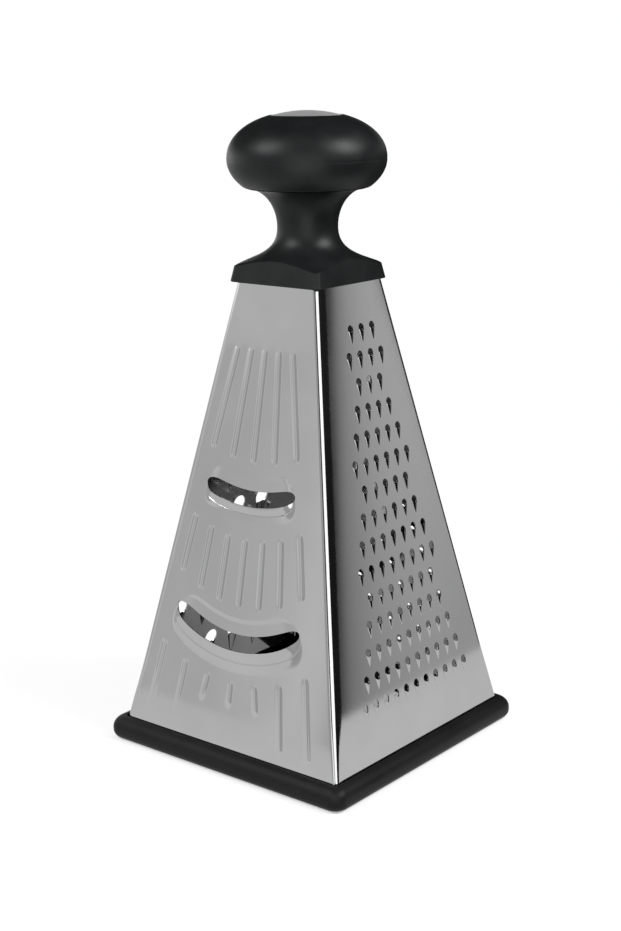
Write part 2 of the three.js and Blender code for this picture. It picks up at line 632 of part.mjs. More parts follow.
// Clamp plate: fills the body's mouth below the folded tabs.
function clampPlate() {
  const low = bodyHalf(CLAMP_FOOT) - LAYERED_WALL - 2 * GAP;
  const high = bodyHalf(CLAMP_TOP) - LAYERED_WALL - 2 * GAP;
  const hole = ringOutline(0, BOLT_RADIUS + GAP, CLAMP_FOOT - CLAMP_THICKNESS, CLAMP_TOP + CLAMP_THICKNESS);
  const plate = solid(squareFrustum(low, high, CLAMP_FOOT, CLAMP_TOP));
  return geometryOf(plate.subtract(solid(revolved(hole, ROUND_SEGMENTS / 2))));
}

function clampNut() {
  const corner = NUT_ACROSS_FLATS / Math.sqrt(3);
  const corners = [];
  for (let k = 0; k < 6; k += 1) {
    const angle = (k * Math.PI) / 3;
    corners.push(new THREE.Vector2(corner * Math.cos(angle), corner * Math.sin(angle)));
  }
  const hexagon = new THREE.Shape(corners);
  hexagon.holes.push(new THREE.Path().absarc(0, 0, BOLT_RADIUS + GAP, 0, 2 * Math.PI, false));
  const options = { depth: NUT_HEIGHT, bevelEnabled: false, curveSegments: ROUND_SEGMENTS / 2 };
  return closed(new THREE.ExtrudeGeometry(hexagon, options).translate(0, 0, NUT_FOOT));
}

const MEDIUM_TEETH = {
  mouthRadius: MEDIUM_MOUTH_RADIUS,
  hoodHeight: MEDIUM_HOOD_HEIGHT,
  hoodLength: MEDIUM_HOOD_LENGTH,
  columnPitch: MEDIUM_COLUMN_PITCH,
  rowPitch: MEDIUM_ROW_PITCH,
  firstRow: MEDIUM_FIRST_ROW,
  topMargin: MEDIUM_TOP_MARGIN,
  sideMarginLow: MEDIUM_SIDE_MARGIN_LOW,
  sideMarginHigh: MEDIUM_SIDE_MARGIN_HIGH,
  offset: MEDIUM_OFFSET,
  firstStagger: 0,
  sides: 4,
};

const COARSE_TEETH = {
  mouthRadius: COARSE_MOUTH_RADIUS,
  hoodHeight: COARSE_HOOD_HEIGHT,
  hoodLength: COARSE_HOOD_LENGTH,
  columnPitch: COARSE_COLUMN_PITCH,
  rowPitch: COARSE_ROW_PITCH,
  firstRow: COARSE_FIRST_ROW,
  topMargin: COARSE_TOP_MARGIN,
  sideMarginLow: COARSE_SIDE_MARGIN_LOW,
  sideMarginHigh: COARSE_SIDE_MARGIN_HIGH,
  offset: COARSE_OFFSET,
  firstStagger: 1,
  sides: 5,
};

const FINE_TEETH = {
  mouthRadius: FINE_MOUTH_RADIUS,
  hoodHeight: FINE_HOOD_HEIGHT,
  hoodLength: FINE_HOOD_LENGTH,
  columnPitch: FINE_COLUMN_PITCH,
  rowPitch: FINE_ROW_PITCH,
  firstRow: FINE_FIRST_ROW,
  topMargin: FINE_TOP_MARGIN,
  sideMarginLow: FINE_SIDE_MARGIN_LOW,
  sideMarginHigh: FINE_SIDE_MARGIN_HIGH,
  offset: FINE_OFFSET,
  firstStagger: 0,
  sides: 2,
};

const BLACK_PLASTIC = { color: 0x1d1f20, roughness: 0.45, metalness: 0 };
const BLACK_RUBBER = { color: 0x1b1b1c, roughness: 0.75, metalness: 0 };
const STAINLESS = { color: 0xb9bbbd, roughness: 0.25, metalness: 1 };
const SATIN_STEEL = { color: 0xa9abad, roughness: 0.4, metalness: 1 };
const ZINC_STEEL = { color: 0x9c9ea1, roughness: 0.45, metalness: 1 };

const grater = new THREE.Group();

function place(name, geometry, finish, turn = 0) {
  const mesh = new THREE.Mesh(geometry, new THREE.MeshStandardMaterial(finish));
  mesh.name = name;
  mesh.rotation.z = turn;
  grater.add(mesh);
}

place('base_rim', baseRim(), BLACK_RUBBER);
place('panel_slicer', slicingPanel(), STAINLESS);
place('panel_medium', gratingPanel(MEDIUM_TEETH), STAINLESS, Math.PI / 2);
place('panel_fine', gratingPanel(FINE_TEETH), STAINLESS, Math.PI);
place('panel_coarse', gratingPanel(COARSE_TEETH), STAINLESS, -Math.PI / 2);
place('clamp_plate', clampPlate(), ZINC_STEEL);
place('lock_washer', washer(LOCK_WASHER_RADIUS, LOCK_WASHER_FOOT, LOCK_WASHER_THICKNESS), ZINC_STEEL);
place('clamp_nut', clampNut(), ZINC_STEEL);
place('neck_collar', neckCollar(), BLACK_PLASTIC);
place('knob_grip', knobGrip(), BLACK_PLASTIC);
place('bolt_washer', washer(WASHER_RADIUS, WASHER_FOOT, WASHER_THICKNESS), ZINC_STEEL);
place('tie_bolt', tieBolt(), ZINC_STEEL);
place('cap_disc', capDisc(), SATIN_STEEL);

export default grater;
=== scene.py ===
"""Dresses the tower grater: fine meshes, procedural finishes, studio light and camera.

Sizes are in millimetres and are scaled to metres when a mesh is made.
The slicing panel faces -Y, the medium panel +X, the fine panel +Y and the coarse panel -X.
"""
from math import acos, asin, atan, atan2, cos, degrees, pi, radians, sin, sqrt, tan

import bmesh
import bpy
from mathutils import Matrix, Vector
from mathutils.geometry import delaunay_2d_cdt


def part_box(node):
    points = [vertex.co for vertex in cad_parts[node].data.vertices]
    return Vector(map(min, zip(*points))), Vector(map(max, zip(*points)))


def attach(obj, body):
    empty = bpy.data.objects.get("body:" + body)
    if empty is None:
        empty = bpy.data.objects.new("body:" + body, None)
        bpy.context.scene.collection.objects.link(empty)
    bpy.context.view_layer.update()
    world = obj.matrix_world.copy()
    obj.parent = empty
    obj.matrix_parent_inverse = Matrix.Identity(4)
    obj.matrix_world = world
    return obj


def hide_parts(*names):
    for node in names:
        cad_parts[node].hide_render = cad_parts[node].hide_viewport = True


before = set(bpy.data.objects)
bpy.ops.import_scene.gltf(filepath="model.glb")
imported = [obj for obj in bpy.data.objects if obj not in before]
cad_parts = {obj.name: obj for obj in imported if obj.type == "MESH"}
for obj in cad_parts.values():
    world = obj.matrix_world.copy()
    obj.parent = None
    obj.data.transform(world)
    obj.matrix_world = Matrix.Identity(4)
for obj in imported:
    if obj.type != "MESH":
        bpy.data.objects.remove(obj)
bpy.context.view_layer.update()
scene = bpy.context.scene
MM = 0.001


def node_box(node):
    """Lowest and highest corner of a solid, in millimetres."""
    low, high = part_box(node)
    return low / MM, high / MM


# Levels and widths read from the frame.
RIM_BOX = node_box("base_rim")
PANEL_BOX = node_box("panel_slicer")
NECK_BOX = node_box("neck_collar")
KNOB_BOX = node_box("knob_grip")
DISC_BOX = node_box("cap_disc")
NUT_BOX = node_box("clamp_nut")
BOLT_BOX = node_box("tie_bolt")
LOCK_WASHER_BOX = node_box("lock_washer")

# Steel body.
GAP = 0.3
BODY_HALF_HIGH = 20.5
SHEET = 0.5
BEND_RADIUS = 1.8
LAP_WIDTH = 6.0
TAB_DEPTH = 7.0
FLAT_MARGIN = 0.5

# Bent corner of a panel, and the neighbour's edge that ends part of the way round it.
CORNER_RADIUS = 2.9
CORNER_RISE = 28.0
SEAM_ANGLE = 36.0
COARSE_SEAM_ANGLE = 0.0
RUN_OUT_WIDTH = 1.8
RUN_OUT_ANGLE = 4.0
EDGE_ROLL_WIDTH = 1.0
EDGE_ROLL_DEPTH = 0.2

# Rubber rim.
RIM_OVERHANG = 5.5
RIM_CORNER_RADIUS = 5.5
RIM_TOP_ROUND = 4.8
RIM_FOOT_ROUND = 3.6
RIM_INNER_WALL = 2.0
RIM_FLOOR = 1.7

# Collar and neck.
COLLAR_LIP = 1.3
COLLAR_CORNER_HEIGHT = 5.4
COLLAR_EDGE_ROUND = 2.6
COLLAR_SOCKET_ROUND = 0.9
COLLAR_BEVEL = 0.3
FLARE_HANDLE_RADIUS = 17.1
FLARE_HANDLE_HEIGHT = 9.5
WAIST_RADIUS = 11.7
WAIST_HEIGHT = 20.4
WAIST_HANDLE = 8.0
NECK_TOP_RADIUS = 23.0
NECK_FLARE_HEIGHT = 14.4
NECK_FLARE_ANGLES = (92, 180)
SPIGOT_RADIUS = 9.0

# Knob and disc.
KNOB_FOOT_RADIUS = 24.0
KNOB_FOOT_BEVEL = 0.25
KNOB_FOOT_STEP = 0.5
KNOB_FOOT_LIP = 1.1
KNOB_LIP_LEAN = 0.1
KNOB_SINK_DEPTH = 5.6
KNOB_LOWER_RISE = 17.1
KNOB_UPPER_RISE = 17.8
CROWN_POWER = 2.15
POCKET_ROUND = 0.25
PARTING_DEPTH = 0.06
PARTING_HALF_ANGLE = 0.012
DISC_EDGE_ROUND = 0.35
DISC_SINK = 0.35

# Bolt, washer and nut.
BOLT_RADIUS = 3.0
BOLT_SHANK_CUT = 0.1
BOLT_HEAD_HEIGHT = 3.2
BOLT_HEAD_CHAMFER = 1.2
BOLT_HEAD_ROUND = 0.4
THREAD_PITCH = 1.0
THREAD_DEPTH = 0.5
THREAD_PAST_WASHER = 4.0
WASHER_RADIUS = 6.4
NUT_BORE_GAP = 0.05
NUT_BORE_CHAMFER = 0.5
NUT_CONE_SHARE = 0.97
NUT_CONE_SLOPE = 1.7
NUT_CONE_STEP = 0.35

# Teeth: mouth radius, hood height and length, pitches, margins, and mesh steps, arc and rows.
MEDIUM_TEETH = dict(
    mouth=1.6, height=0.75, length=5.6, column=6.65, row=10.1, first=22.0,
    top=14.0, side_low=17.3, side_high=14.8, offset=2.4, stagger=0, arc=18, rows=9)
COARSE_TEETH = dict(
    mouth=3.7, height=1.9, length=12.4, column=14.5, row=20.3, first=21.4,
    top=30.0, side_low=13.2, side_high=13.2, offset=0.0, stagger=1, arc=22, rows=11)
FINE_TEETH = dict(
    mouth=1.1, height=0.9, length=3.2, column=7.0, row=9.4, first=16.0,
    top=14.0, side_low=14.0, side_high=13.0, offset=0.0, stagger=0, arc=12, rows=6)
HOOD_WIDTH_POWER = 0.8
HOOD_HEIGHT_POWER = 0.9
HOOD_RIDGE = 1.35

# Slicing panel: level up the slope, arc radius, span and width of each slot, blade length.
SLICER_OFFSET = -1.1
UPPER_SLOT = dict(level=98.8, arc=61.5, span=44.2, width=6.1, blade=7.2)
LOWER_SLOT = dict(level=42.3, arc=54.6, span=62.4, width=6.4, blade=10.0)
SLOT_END_POWER = 8
BLADE_HEIGHT = 1.5
BLADE_RAMP = 0.2
BLADE_SWELL_END = 1.3
BLADE_CREASE = 0.55
BLADE_CREASE_HALF = 0.03
BLADE_CREASE_DEPTH = 0.16
DISH_LENGTH = 6.9
DISH_DEPTH = 0.5
DISH_STEP = 0.42
SLOT_STATIONS = 44
BLADE_STEPS = (
    -0.07, 0.0, 0.08, 0.16, 0.24, 0.32, 0.4, 0.47, 0.51, 0.53, 0.55, 0.57, 0.59,
    0.63, 0.7, 0.8, 0.9, 1.0)
DISH_STEPS = (1.0, 0.7, 0.5, 0.42, 0.37, 0.32, 0.27, 0.21, 0.15, 0.1, 0.05, 0.0, -0.1)

# Ribs of the slicing panel; each fan is a count, the pitch at its top and the pitch at its foot.
UPPER_FAN = (5, 6.8, 10.4)
MIDDLE_FAN = (7, 8.8, 10.1)
LOWER_FAN = (7, 12.1, 13.8)
RIB_HALF = 1.7
RIB_HEIGHT = 0.3
RIB_FOOT_FLARE = 1.15
RIB_CREST = 0.15
RIB_CREST_SHIFT = 0.5
RIB_END_STRETCH = 1.7
RIB_RINGS = (1.25, 1.15, 1.0, 0.86, 0.72, 0.58, 0.44, 0.3, 0.15, 0.06)
RIB_CAP_STEPS = 8
UPPER_RIB_MARGIN = 24.8
RIB_SLOT_CLEARANCE = 14.5
BLADE_RIB_CLEARANCE = 16.8
LOWER_RIB_ARC = 76.0
LOWER_RIB_FOOT = 5.0
LOWER_RIB_SHORT_FOOT = 17.5

# Sizes that follow from those above.
RIM_HALF = RIM_BOX[1].x
RIM_HEIGHT = RIM_BOX[1].z
PANEL_FOOT = PANEL_BOX[0].z
PANEL_TOP = PANEL_BOX[1].z
COLLAR_FOOT = NECK_BOX[0].z
SPIGOT_TOP = NECK_BOX[1].z
KNOB_FOOT = KNOB_BOX[0].z
KNOB_RADIUS = KNOB_BOX[1].x
DISC_FOOT = DISC_BOX[0].z
DISC_RADIUS = DISC_BOX[1].x
BODY_HALF_LOW = RIM_HALF - RIM_OVERHANG
BODY_HEIGHT = COLLAR_FOOT - RIM_HEIGHT
TAPER = (BODY_HALF_LOW - BODY_HALF_HIGH) / BODY_HEIGHT
TILT = atan(TAPER)
SLOPE_LENGTH = BODY_HEIGHT / cos(TILT)
BACK = -SHEET * cos(TILT)
TUCK = SHEET + GAP
SEAM_FROM_CORNER = BEND_RADIUS + TUCK
LAYERED_WALL = 2 * SHEET + GAP
WAIST_LEVEL = COLLAR_FOOT + WAIST_HEIGHT
NECK_TOP = WAIST_LEVEL + NECK_FLARE_HEIGHT
KNOB_EQUATOR = KNOB_FOOT + KNOB_LOWER_RISE * sqrt(1 - (KNOB_FOOT_RADIUS / KNOB_RADIUS) ** 2)

# Fineness of round forms.
ROUND_SEGMENTS = 96
BOLT_SEGMENTS = 32
NUT_SEGMENTS = 48
ROLL_STEPS = 6
CORNER_STEPS = 18
CORNER_RISE_STEPS = 8
RIM_STEPS = 12
RIM_FOOT_STEPS = 10
COLLAR_CORNER_STEPS = 6
COLLAR_SIDE_STEPS = 22
COLLAR_WALL_STEPS = 3
NECK_FLARE_STEPS = 16
COLLAR_FLARE_STEPS = 18
FLARE_SEARCHES = 30
FLARE_STRIDE = 0.002
KNOB_LOWER_STEPS = 24
KNOB_UPPER_STEPS = 36
DISC_STEPS = 16
SMOOTH_ANGLE = radians(34)
MERGE_DISTANCE = 1e-7
INSIDE_LOOPS = 1


def body_half(z):
    """Outside half width of the steel body at a height."""
    return BODY_HALF_LOW - TAPER * (z - RIM_HEIGHT)


def smooth_step(value, low, high):
    t = min(max((value - low) / (high - low), 0.0), 1.0)
    return t * t * (3 - 2 * t)


def blend(low, high, share):
    return low + (high - low) * share


def spread_evenly(low, high, steps):
    """Values from low to high, both included."""
    return [blend(low, high, k / steps) for k in range(steps + 1)]


def arc_points(centre, radius, start, end, steps):
    """Points of a circle arc or, with a pair of radii, an ellipse arc; angles in degrees."""
    across, up = radius if isinstance(radius, tuple) else (radius, radius)
    angles = [radians(a) for a in spread_evenly(start, end, steps)]
    return [(centre[0] + across * cos(a), centre[1] + up * sin(a)) for a in angles]


# Meshes

def make_piece(name, points, faces, material, slot, *nodes):
    """Closed mesh of the object, standing for CAD nodes and riding on the one body."""
    mesh = bpy.data.meshes.new(name)
    mesh.from_pydata([Vector(p) * MM for p in points], [], faces)
    shell = bmesh.new()
    shell.from_mesh(mesh)
    bmesh.ops.recalc_face_normals(shell, faces=shell.faces)
    shell.to_mesh(mesh)
    shell.free()
    mesh.shade_smooth()
    mesh.set_sharp_from_angle(angle=SMOOTH_ANGLE)
    mesh.materials.append(material)
    piece = bpy.data.objects.new(name, mesh)
    scene.collection.objects.link(piece)
    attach(piece, "root")
    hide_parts(*nodes)


def ring_faces(rows, count):
    """Faces of a ring whose section is closed: `rows` loops of `count` points."""
    faces = []
    for row in range(rows):
        low = row * count
        high = (row + 1) % rows * count
        for k in range(count):
            onward = (k + 1) % count
            faces.append((low + k, low + onward, high + onward, high + k))
    return faces


def make_ring(name, loops, material, slot, *nodes):
    points = [point for loop in loops for point in loop]
    make_piece(name, points, ring_faces(len(loops), len(loops[0])), material, slot, *nodes)


def turned_loops(outline, segments=ROUND_SEGMENTS):
    """Loops of a turning, one for each (radius, height) of a closed outline off the axis."""
    angles = [2 * pi * k / segments for k in range(segments)]
    return [[(r * cos(a), r * sin(a), z) for a in angles] for r, z in outline]


def turned_solid(outline, segments=ROUND_SEGMENTS):
    """Points and faces of a turning whose outline starts and ends on the axis."""
    loops = turned_loops(outline[1:-1], segments)
    points = [point for loop in loops for point in loop]
    faces = ring_faces(len(loops), segments)[: (len(loops) - 1) * segments]
    last = (len(loops) - 1) * segments
    for centre, first in ((outline[0], 0), (outline[-1], last)):
        points.append((0, 0, centre[1]))
        hub = len(points) - 1
        faces += [(hub, first + k, first + (k + 1) % segments) for k in range(segments)]
    return points, faces


# Materials

# Finishes: tones and roughness from the low to the high end of a noise, and depths of bumps.
NOISE_LOW = 0.3
NOISE_HIGH = 0.7
NOISE_ROUGHNESS = 0.55
STEEL_TONES = ((0.385, 0.385, 0.388), (0.41, 0.41, 0.413))
STEEL_ROUGHNESS = (0.055, 0.085)
STEEL_LINE_ROUGHNESS = (0.0, 0.025)
STEEL_LINE_STRETCH = (1, 1, 60)
STEEL_WAVE_DEPTH = 0.02
STEEL_LINE_DEPTH = 0.0003
DISC_TONES = ((0.56, 0.56, 0.565), (0.62, 0.62, 0.625))
DISC_ROUGHNESS = (0.52, 0.64)
DISC_RING_DEPTH = 0.004

# Mottled finishes: satin moulding, matt rubber and dull zinc plate.
# The clouds and the grain are each a size and a detail.
PLASTIC = dict(
    tones=((0.0036, 0.0045, 0.0047), (0.0056, 0.0066, 0.0068)), roughness=(0.4, 0.47),
    clouds=(9, 2.0), grain=(0.32, 2.0), depth=0.012, Specular_IOR_Level=0.17)
RUBBER = dict(
    tones=((0.0042, 0.0042, 0.0045), (0.0068, 0.0068, 0.0072)), roughness=(0.42, 0.52),
    clouds=(14, 4.0), grain=(0.5, 3.0), depth=0.03, Specular_IOR_Level=0.12)
ZINC = dict(
    tones=((0.36, 0.37, 0.39), (0.5, 0.51, 0.53)), roughness=(0.34, 0.5),
    clouds=(1.6, 5.0), grain=(1.6, 5.0), depth=0.01, Metallic=1.0)


def node_material(name):
    """New material and its node tree."""
    material = bpy.data.materials.new(name)
    material.use_nodes = True
    return material, material.node_tree


def add_node(tree, kind, inputs=(), **settings):
    """New shader node with its settings; an input is a value or the socket that feeds it."""
    node = tree.nodes.new("ShaderNode" + kind)
    for key, value in settings.items():
        setattr(node, key, value)
    for socket, value in dict(inputs).items():
        if isinstance(value, bpy.types.NodeSocket):
            tree.links.new(value, node.inputs[socket])
        else:
            node.inputs[socket].default_value = value
    return node


class Finish:
    """A node material under construction, on object coordinates in millimetres."""

    def __init__(self, name, **sockets):
        self.material, self.tree = node_material(name)
        self.shader = self.tree.nodes["Principled BSDF"]
        for socket, value in sockets.items():
            self.shader.inputs[socket.replace("_", " ")].default_value = value
        self.place = self.add("TexCoord").outputs["Object"]

    def add(self, kind, inputs=(), **settings):
        return add_node(self.tree, kind, inputs, **settings)

    def noise(self, size, detail, stretch=(1, 1, 1), place=None):
        """Noise whose grains are `size` millimetres, drawn out by `stretch` along each axis."""
        scale = [1 / (MM * size * share) for share in stretch]
        mapping = self.add("Mapping", {"Vector": place or self.place, "Scale": scale})
        inputs = {"Vector": mapping.outputs[0], "Scale": 1.0, "Detail": detail}
        inputs["Roughness"] = NOISE_ROUGHNESS
        return self.add("TexNoise", inputs).outputs["Fac"]

    def ranged(self, noise, low, high):
        inputs = {"Value": noise, "From Min": NOISE_LOW, "From Max": NOISE_HIGH}
        inputs |= {"To Min": low, "To Max": high}
        return self.add("MapRange", inputs).outputs["Result"]

    def colours(self, noise, dark, light):
        ramp = self.add("ValToRGB", {"Fac": noise})
        ends = ((NOISE_LOW, dark), (NOISE_HIGH, light))
        for element, (position, tone) in zip(ramp.color_ramp.elements, ends):
            element.position = position
            element.color = (*tone, 1)
        return ramp.outputs["Color"]

    def join(self, value, socket):
        self.tree.links.new(value, self.shader.inputs[socket])

    def bump(self, *layers):
        """Stacked bumps from (height, depth in millimetres) pairs."""
        normal = None
        for height, depth in layers:
            inputs = {"Height": height, "Strength": 1.0, "Distance": depth * MM}
            if normal:
                inputs["Normal"] = normal
            normal = self.add("Bump", inputs).outputs["Normal"]
        self.join(normal, "Normal")


def panel_steel():
    """Bright rolled stainless sheet: fine rolling lines up the panel and faint handling haze."""
    finish = Finish("panel_steel", Metallic=1.0)
    haze = finish.noise(size=26, detail=2.0)
    rolling = finish.noise(size=0.35, detail=2.0, stretch=STEEL_LINE_STRETCH)
    finish.join(finish.colours(haze, *STEEL_TONES), "Base Color")
    lines = finish.ranged(rolling, *STEEL_LINE_ROUGHNESS)
    rough = finish.add("Math", {0: finish.ranged(haze, *STEEL_ROUGHNESS), 1: lines})
    finish.join(rough.outputs[0], "Roughness")
    wave = finish.noise(size=45, detail=1.0)
    finish.bump((wave, STEEL_WAVE_DEPTH), (rolling, STEEL_LINE_DEPTH))
    return finish.material


def mottled(name, tones, roughness, clouds, grain, depth, **sockets):
    """Finish whose tone and roughness change in clouds, with a grain that stands out."""
    finish = Finish(name, **sockets)
    cloud = finish.noise(*clouds)
    finish.join(finish.colours(cloud, *tones), "Base Color")
    finish.join(finish.ranged(cloud, *roughness), "Roughness")
    finish.bump((finish.noise(*grain), depth))
    return finish.material


def disc_steel():
    """Satin disc, turned: the brush lines are rings about the axis."""
    finish = Finish("disc_steel", Metallic=1.0)
    flat = finish.add("VectorMath", {0: finish.place, 1: (1, 1, 0)}, operation="MULTIPLY")
    radius = finish.add("VectorMath", {0: flat.outputs[0]}, operation="LENGTH")
    ring_place = finish.add("CombineXYZ", {"X": radius.outputs["Value"]}).outputs[0]
    rings = finish.noise(size=0.22, detail=3.0, place=ring_place)
    cloud = finish.noise(size=7, detail=2.0)
    finish.join(finish.colours(cloud, *DISC_TONES), "Base Color")
    finish.join(finish.ranged(rings, *DISC_ROUGHNESS), "Roughness")
    finish.bump((rings, DISC_RING_DEPTH))
    return finish.material


# Pressed panels, each made facing -Y

def panel_point(x, y, out):
    """A point of the panel's plane: x across, y up the slope from the rim, out of the sheet."""
    depth = -BODY_HALF_LOW + y * sin(TILT) - out * cos(TILT)
    return (x, depth, RIM_HEIGHT + y * cos(TILT) + out * sin(TILT))


def in_plane(point):
    """The reverse of panel_point, without the height out of the sheet."""
    rise = (point[1] + BODY_HALF_LOW) * sin(TILT) + (point[2] - RIM_HEIGHT) * cos(TILT)
    return Vector((point[0], rise))


def anticlockwise(loop, places):
    """A loop of corners, turned round if its places in the plane run clockwise."""
    area = sum(p.cross(q) for p, q in zip(places, [*places[1:], places[0]]))
    return loop if area > 0 else loop[::-1]


class Sheet:
    """Growing points and faces of one pressed sheet."""

    def __init__(self):
        self.points = []
        self.faces = []

    def point(self, place):
        self.points.append(place)
        return len(self.points) - 1

    def on(self, x, y, out):
        return self.point(panel_point(x, y, out))

    def strip(self, low, high):
        """Faces between two rows of points; rows that share a point there get a triangle."""
        for k in range(len(low) - 1):
            corners = [low[k], low[k + 1], high[k + 1], high[k]]
            face = [c for i, c in enumerate(corners) if c != corners[i - 1]]
            if len(face) > 2:
                self.faces.append(tuple(face))

    def band(self, low, high):
        """Faces between two closed loops."""
        self.strip([*low, low[0]], [*high, high[0]])

    def flat(self, border, holes):
        """Flat face inside a border, with a hole for each pressed feature."""
        corners = []
        loops = []
        for loop in (border, *holes):
            loops.append(list(range(len(corners), len(corners) + len(loop))))
            corners += anticlockwise(loop, [in_plane(self.points[c]) for c in loop])
        places = [in_plane(self.points[c]) for c in corners]
        made = delaunay_2d_cdt(places, [], loops, INSIDE_LOOPS, MERGE_DISTANCE)
        _, _, faces, from_corners, _, from_loops = made
        for face, inside in zip(faces, from_loops):
            if list(inside) == [0]:
                self.faces.append(tuple(corners[from_corners[k][0]] for k in face))


def corner_radius(z):
    """Outside radius of the bent corner: tight in the rim's groove, fuller above it."""
    return blend(BEND_RADIUS, CORNER_RADIUS, smooth_step(z, RIM_HEIGHT, RIM_HEIGHT + CORNER_RISE))


def panel_section(z, inset, seam):
    """One side of a panel's section: rolled right edge, flat, bent left corner, tucked flange.

    Gives the points and the number of the flat's first point; inset is 0 outside and SHEET inside.
    The right edge ends `seam` degrees round the neighbour's corner.
    """
    half = body_half(z)
    radius = corner_radius(z)
    edge = half - radius * (1 - sin(radians(seam)))
    lean = radians(RUN_OUT_ANGLE)
    run_depth = RUN_OUT_WIDTH * tan(lean) / 2
    centre = (-half + TUCK + radius, -half + run_depth + radius * cos(lean))
    run_end = centre[0] - radius * sin(lean)
    points = []
    for step in spread_evenly(0.0, 1.0, ROLL_STEPS):
        roll = EDGE_ROLL_DEPTH * (1 - step) ** 2
        points.append((edge - step * EDGE_ROLL_WIDTH, -half + inset + roll))
    points.append((edge - EDGE_ROLL_WIDTH - FLAT_MARGIN, -half + inset))
    first = len(points) - 1
    points.append((run_end + RUN_OUT_WIDTH + FLAT_MARGIN, -half + inset))
    for step in spread_evenly(0.0, 1.0, ROLL_STEPS)[:-1]:
        points.append((run_end + (1 - step) * RUN_OUT_WIDTH, -half + inset + run_depth * step ** 2))
    points += arc_points(centre, radius - inset, -90 - RUN_OUT_ANGLE, -180, CORNER_STEPS)
    points.append((-half + TUCK + inset, -half + SEAM_FROM_CORNER + GAP + LAP_WIDTH))
    return points, first


def pressed_panel(features, seam=SEAM_ANGLE):
    """Sheet with its pressed features and the tab folded in at its top."""
    sheet = Sheet()
    rising = spread_evenly(RIM_HEIGHT, RIM_HEIGHT + CORNER_RISE, CORNER_RISE_STEPS)
    levels = [PANEL_FOOT, *rising, PANEL_TOP]
    rows = {"out": [], "in": []}
    for side, inset in (("out", 0.0), ("in", SHEET)):
        for z in levels:
            section, first = panel_section(z, inset, seam)
            rows[side].append([sheet.point((x, y, z)) for x, y in section])
    parts = (slice(0, first + 1), slice(first + 1, None))
    for part in parts:
        for side in ("out", "in"):
            for low, high in zip(rows[side], rows[side][1:]):
                sheet.strip(low[part], high[part])
        sheet.strip(rows["out"][-1][part], rows["in"][-1][part])
    sheet.strip(rows["out"][0], rows["in"][0])
    for end in (0, -1):
        sheet.strip([row[end] for row in rows["out"]], [row[end] for row in rows["in"]])
    tabs = folded_tab(sheet, rows["out"][-1], rows["in"][-1], first)
    pressed = [feature(sheet) for feature in features]
    for number, side in enumerate(("out", "in")):
        right = [row[first] for row in rows[side]]
        left = [row[first + 1] for row in rows[side]]
        border = [right[0], *left, *tabs[number], *reversed(right[1:])]
        sheet.flat(border, [loops[number] for loops in pressed])
    return sheet


def folded_tab(sheet, outer_row, inner_row, first):
    """Tab at the panel's top; returns its corners on the outer and inner borders, left to right."""
    half = body_half(PANEL_TOP)
    wall = half - SHEET / 2
    beside_laps = half - SEAM_FROM_CORNER - LAP_WIDTH - 3 * GAP
    tab_half = min(beside_laps, wall - TAB_DEPTH - GAP)
    foot = PANEL_TOP - SHEET
    end = -wall + TAB_DEPTH
    corners = {}
    for side in (-1, 1):
        x = side * tab_half
        places = ((-half, PANEL_TOP), (-half + SHEET, PANEL_TOP), (end, PANEL_TOP), (end, foot),
                  (-body_half(foot) + SHEET, foot))
        corners[side] = [sheet.point((x, y, z)) for y, z in places]
        sheet.faces.append(tuple(corners[side][1:]))
    left, right = corners[-1], corners[1]
    sheet.faces.append((*left[:3], *reversed(right[:3])))
    sheet.strip(left[2:], right[2:])
    for tab, column in ((right, first), (left, first + 1)):
        sheet.faces.append((outer_row[column], tab[0], tab[1], inner_row[column]))
    return [left[0], right[0]], [left[1], left[4], right[4], right[1]]


def opening(draw):
    """Feature drawn on both sides of the sheet, with walls between the two sides of each lip."""
    def feature(sheet):
        *lips, front = draw(sheet, 0.0)
        *back_lips, back = draw(sheet, BACK)
        for lip, back_lip in zip(lips, back_lips):
            sheet.strip(lip, back_lip)
        return front, back

    return feature


def tooth(x, y, teeth):
    """Round hole whose lower lip is drawn out, and under the lip a hood that runs to a point."""
    angles = spread_evenly(0.0, pi, teeth["arc"])
    radius = teeth["mouth"]

    def draw(sheet, base):
        mouth = [sheet.on(x + radius * cos(a), y + radius * sin(a), base) for a in angles]
        rows = []
        for step in range(teeth["rows"]):
            fall = step / teeth["rows"]
            width = radius * (1 - fall) ** HOOD_WIDTH_POWER
            sag = radius * (1 - fall)
            rise = teeth["height"] * (1 - fall) ** HOOD_HEIGHT_POWER
            level = y - fall * teeth["length"]
            row = []
            for a in angles:
                out = base + rise * (1 - abs(cos(a)) ** HOOD_RIDGE)
                row.append(sheet.on(x + width * cos(a), level - sag * sin(a), out))
            rows.append(row)
        rows[0][0], rows[0][-1] = mouth[0], mouth[-1]
        tip = sheet.on(x, y - teeth["length"], base)
        rows.append([tip] * len(angles))
        for upper, lower in zip(rows, rows[1:]):
            sheet.strip(upper, lower)
        left = [row[-1] for row in rows]
        right = [row[0] for row in rows]
        return mouth, rows[0], [*mouth, *left[1:], *reversed(right[1:-1])]

    return opening(draw)


def tooth_places(teeth):
    """Staggered rows, as many teeth in each as fit between the side margins."""
    count = int((SLOPE_LENGTH - teeth["top"] - teeth["first"]) // teeth["row"]) + 1
    for row in range(count):
        y = teeth["first"] + row * teeth["row"]
        rise = y / SLOPE_LENGTH
        margin = blend(teeth["side_low"], teeth["side_high"], rise)
        reach = blend(BODY_HALF_LOW, BODY_HALF_HIGH, rise) - margin
        shift = teeth["column"] / 2 if (row + teeth["stagger"]) % 2 else 0.0
        side = int((reach - shift) // teeth["column"])
        first = -side * teeth["column"] - shift
        for k in range(2 * side + (2 if shift else 1)):
            yield teeth["offset"] + first + k * teeth["column"], y


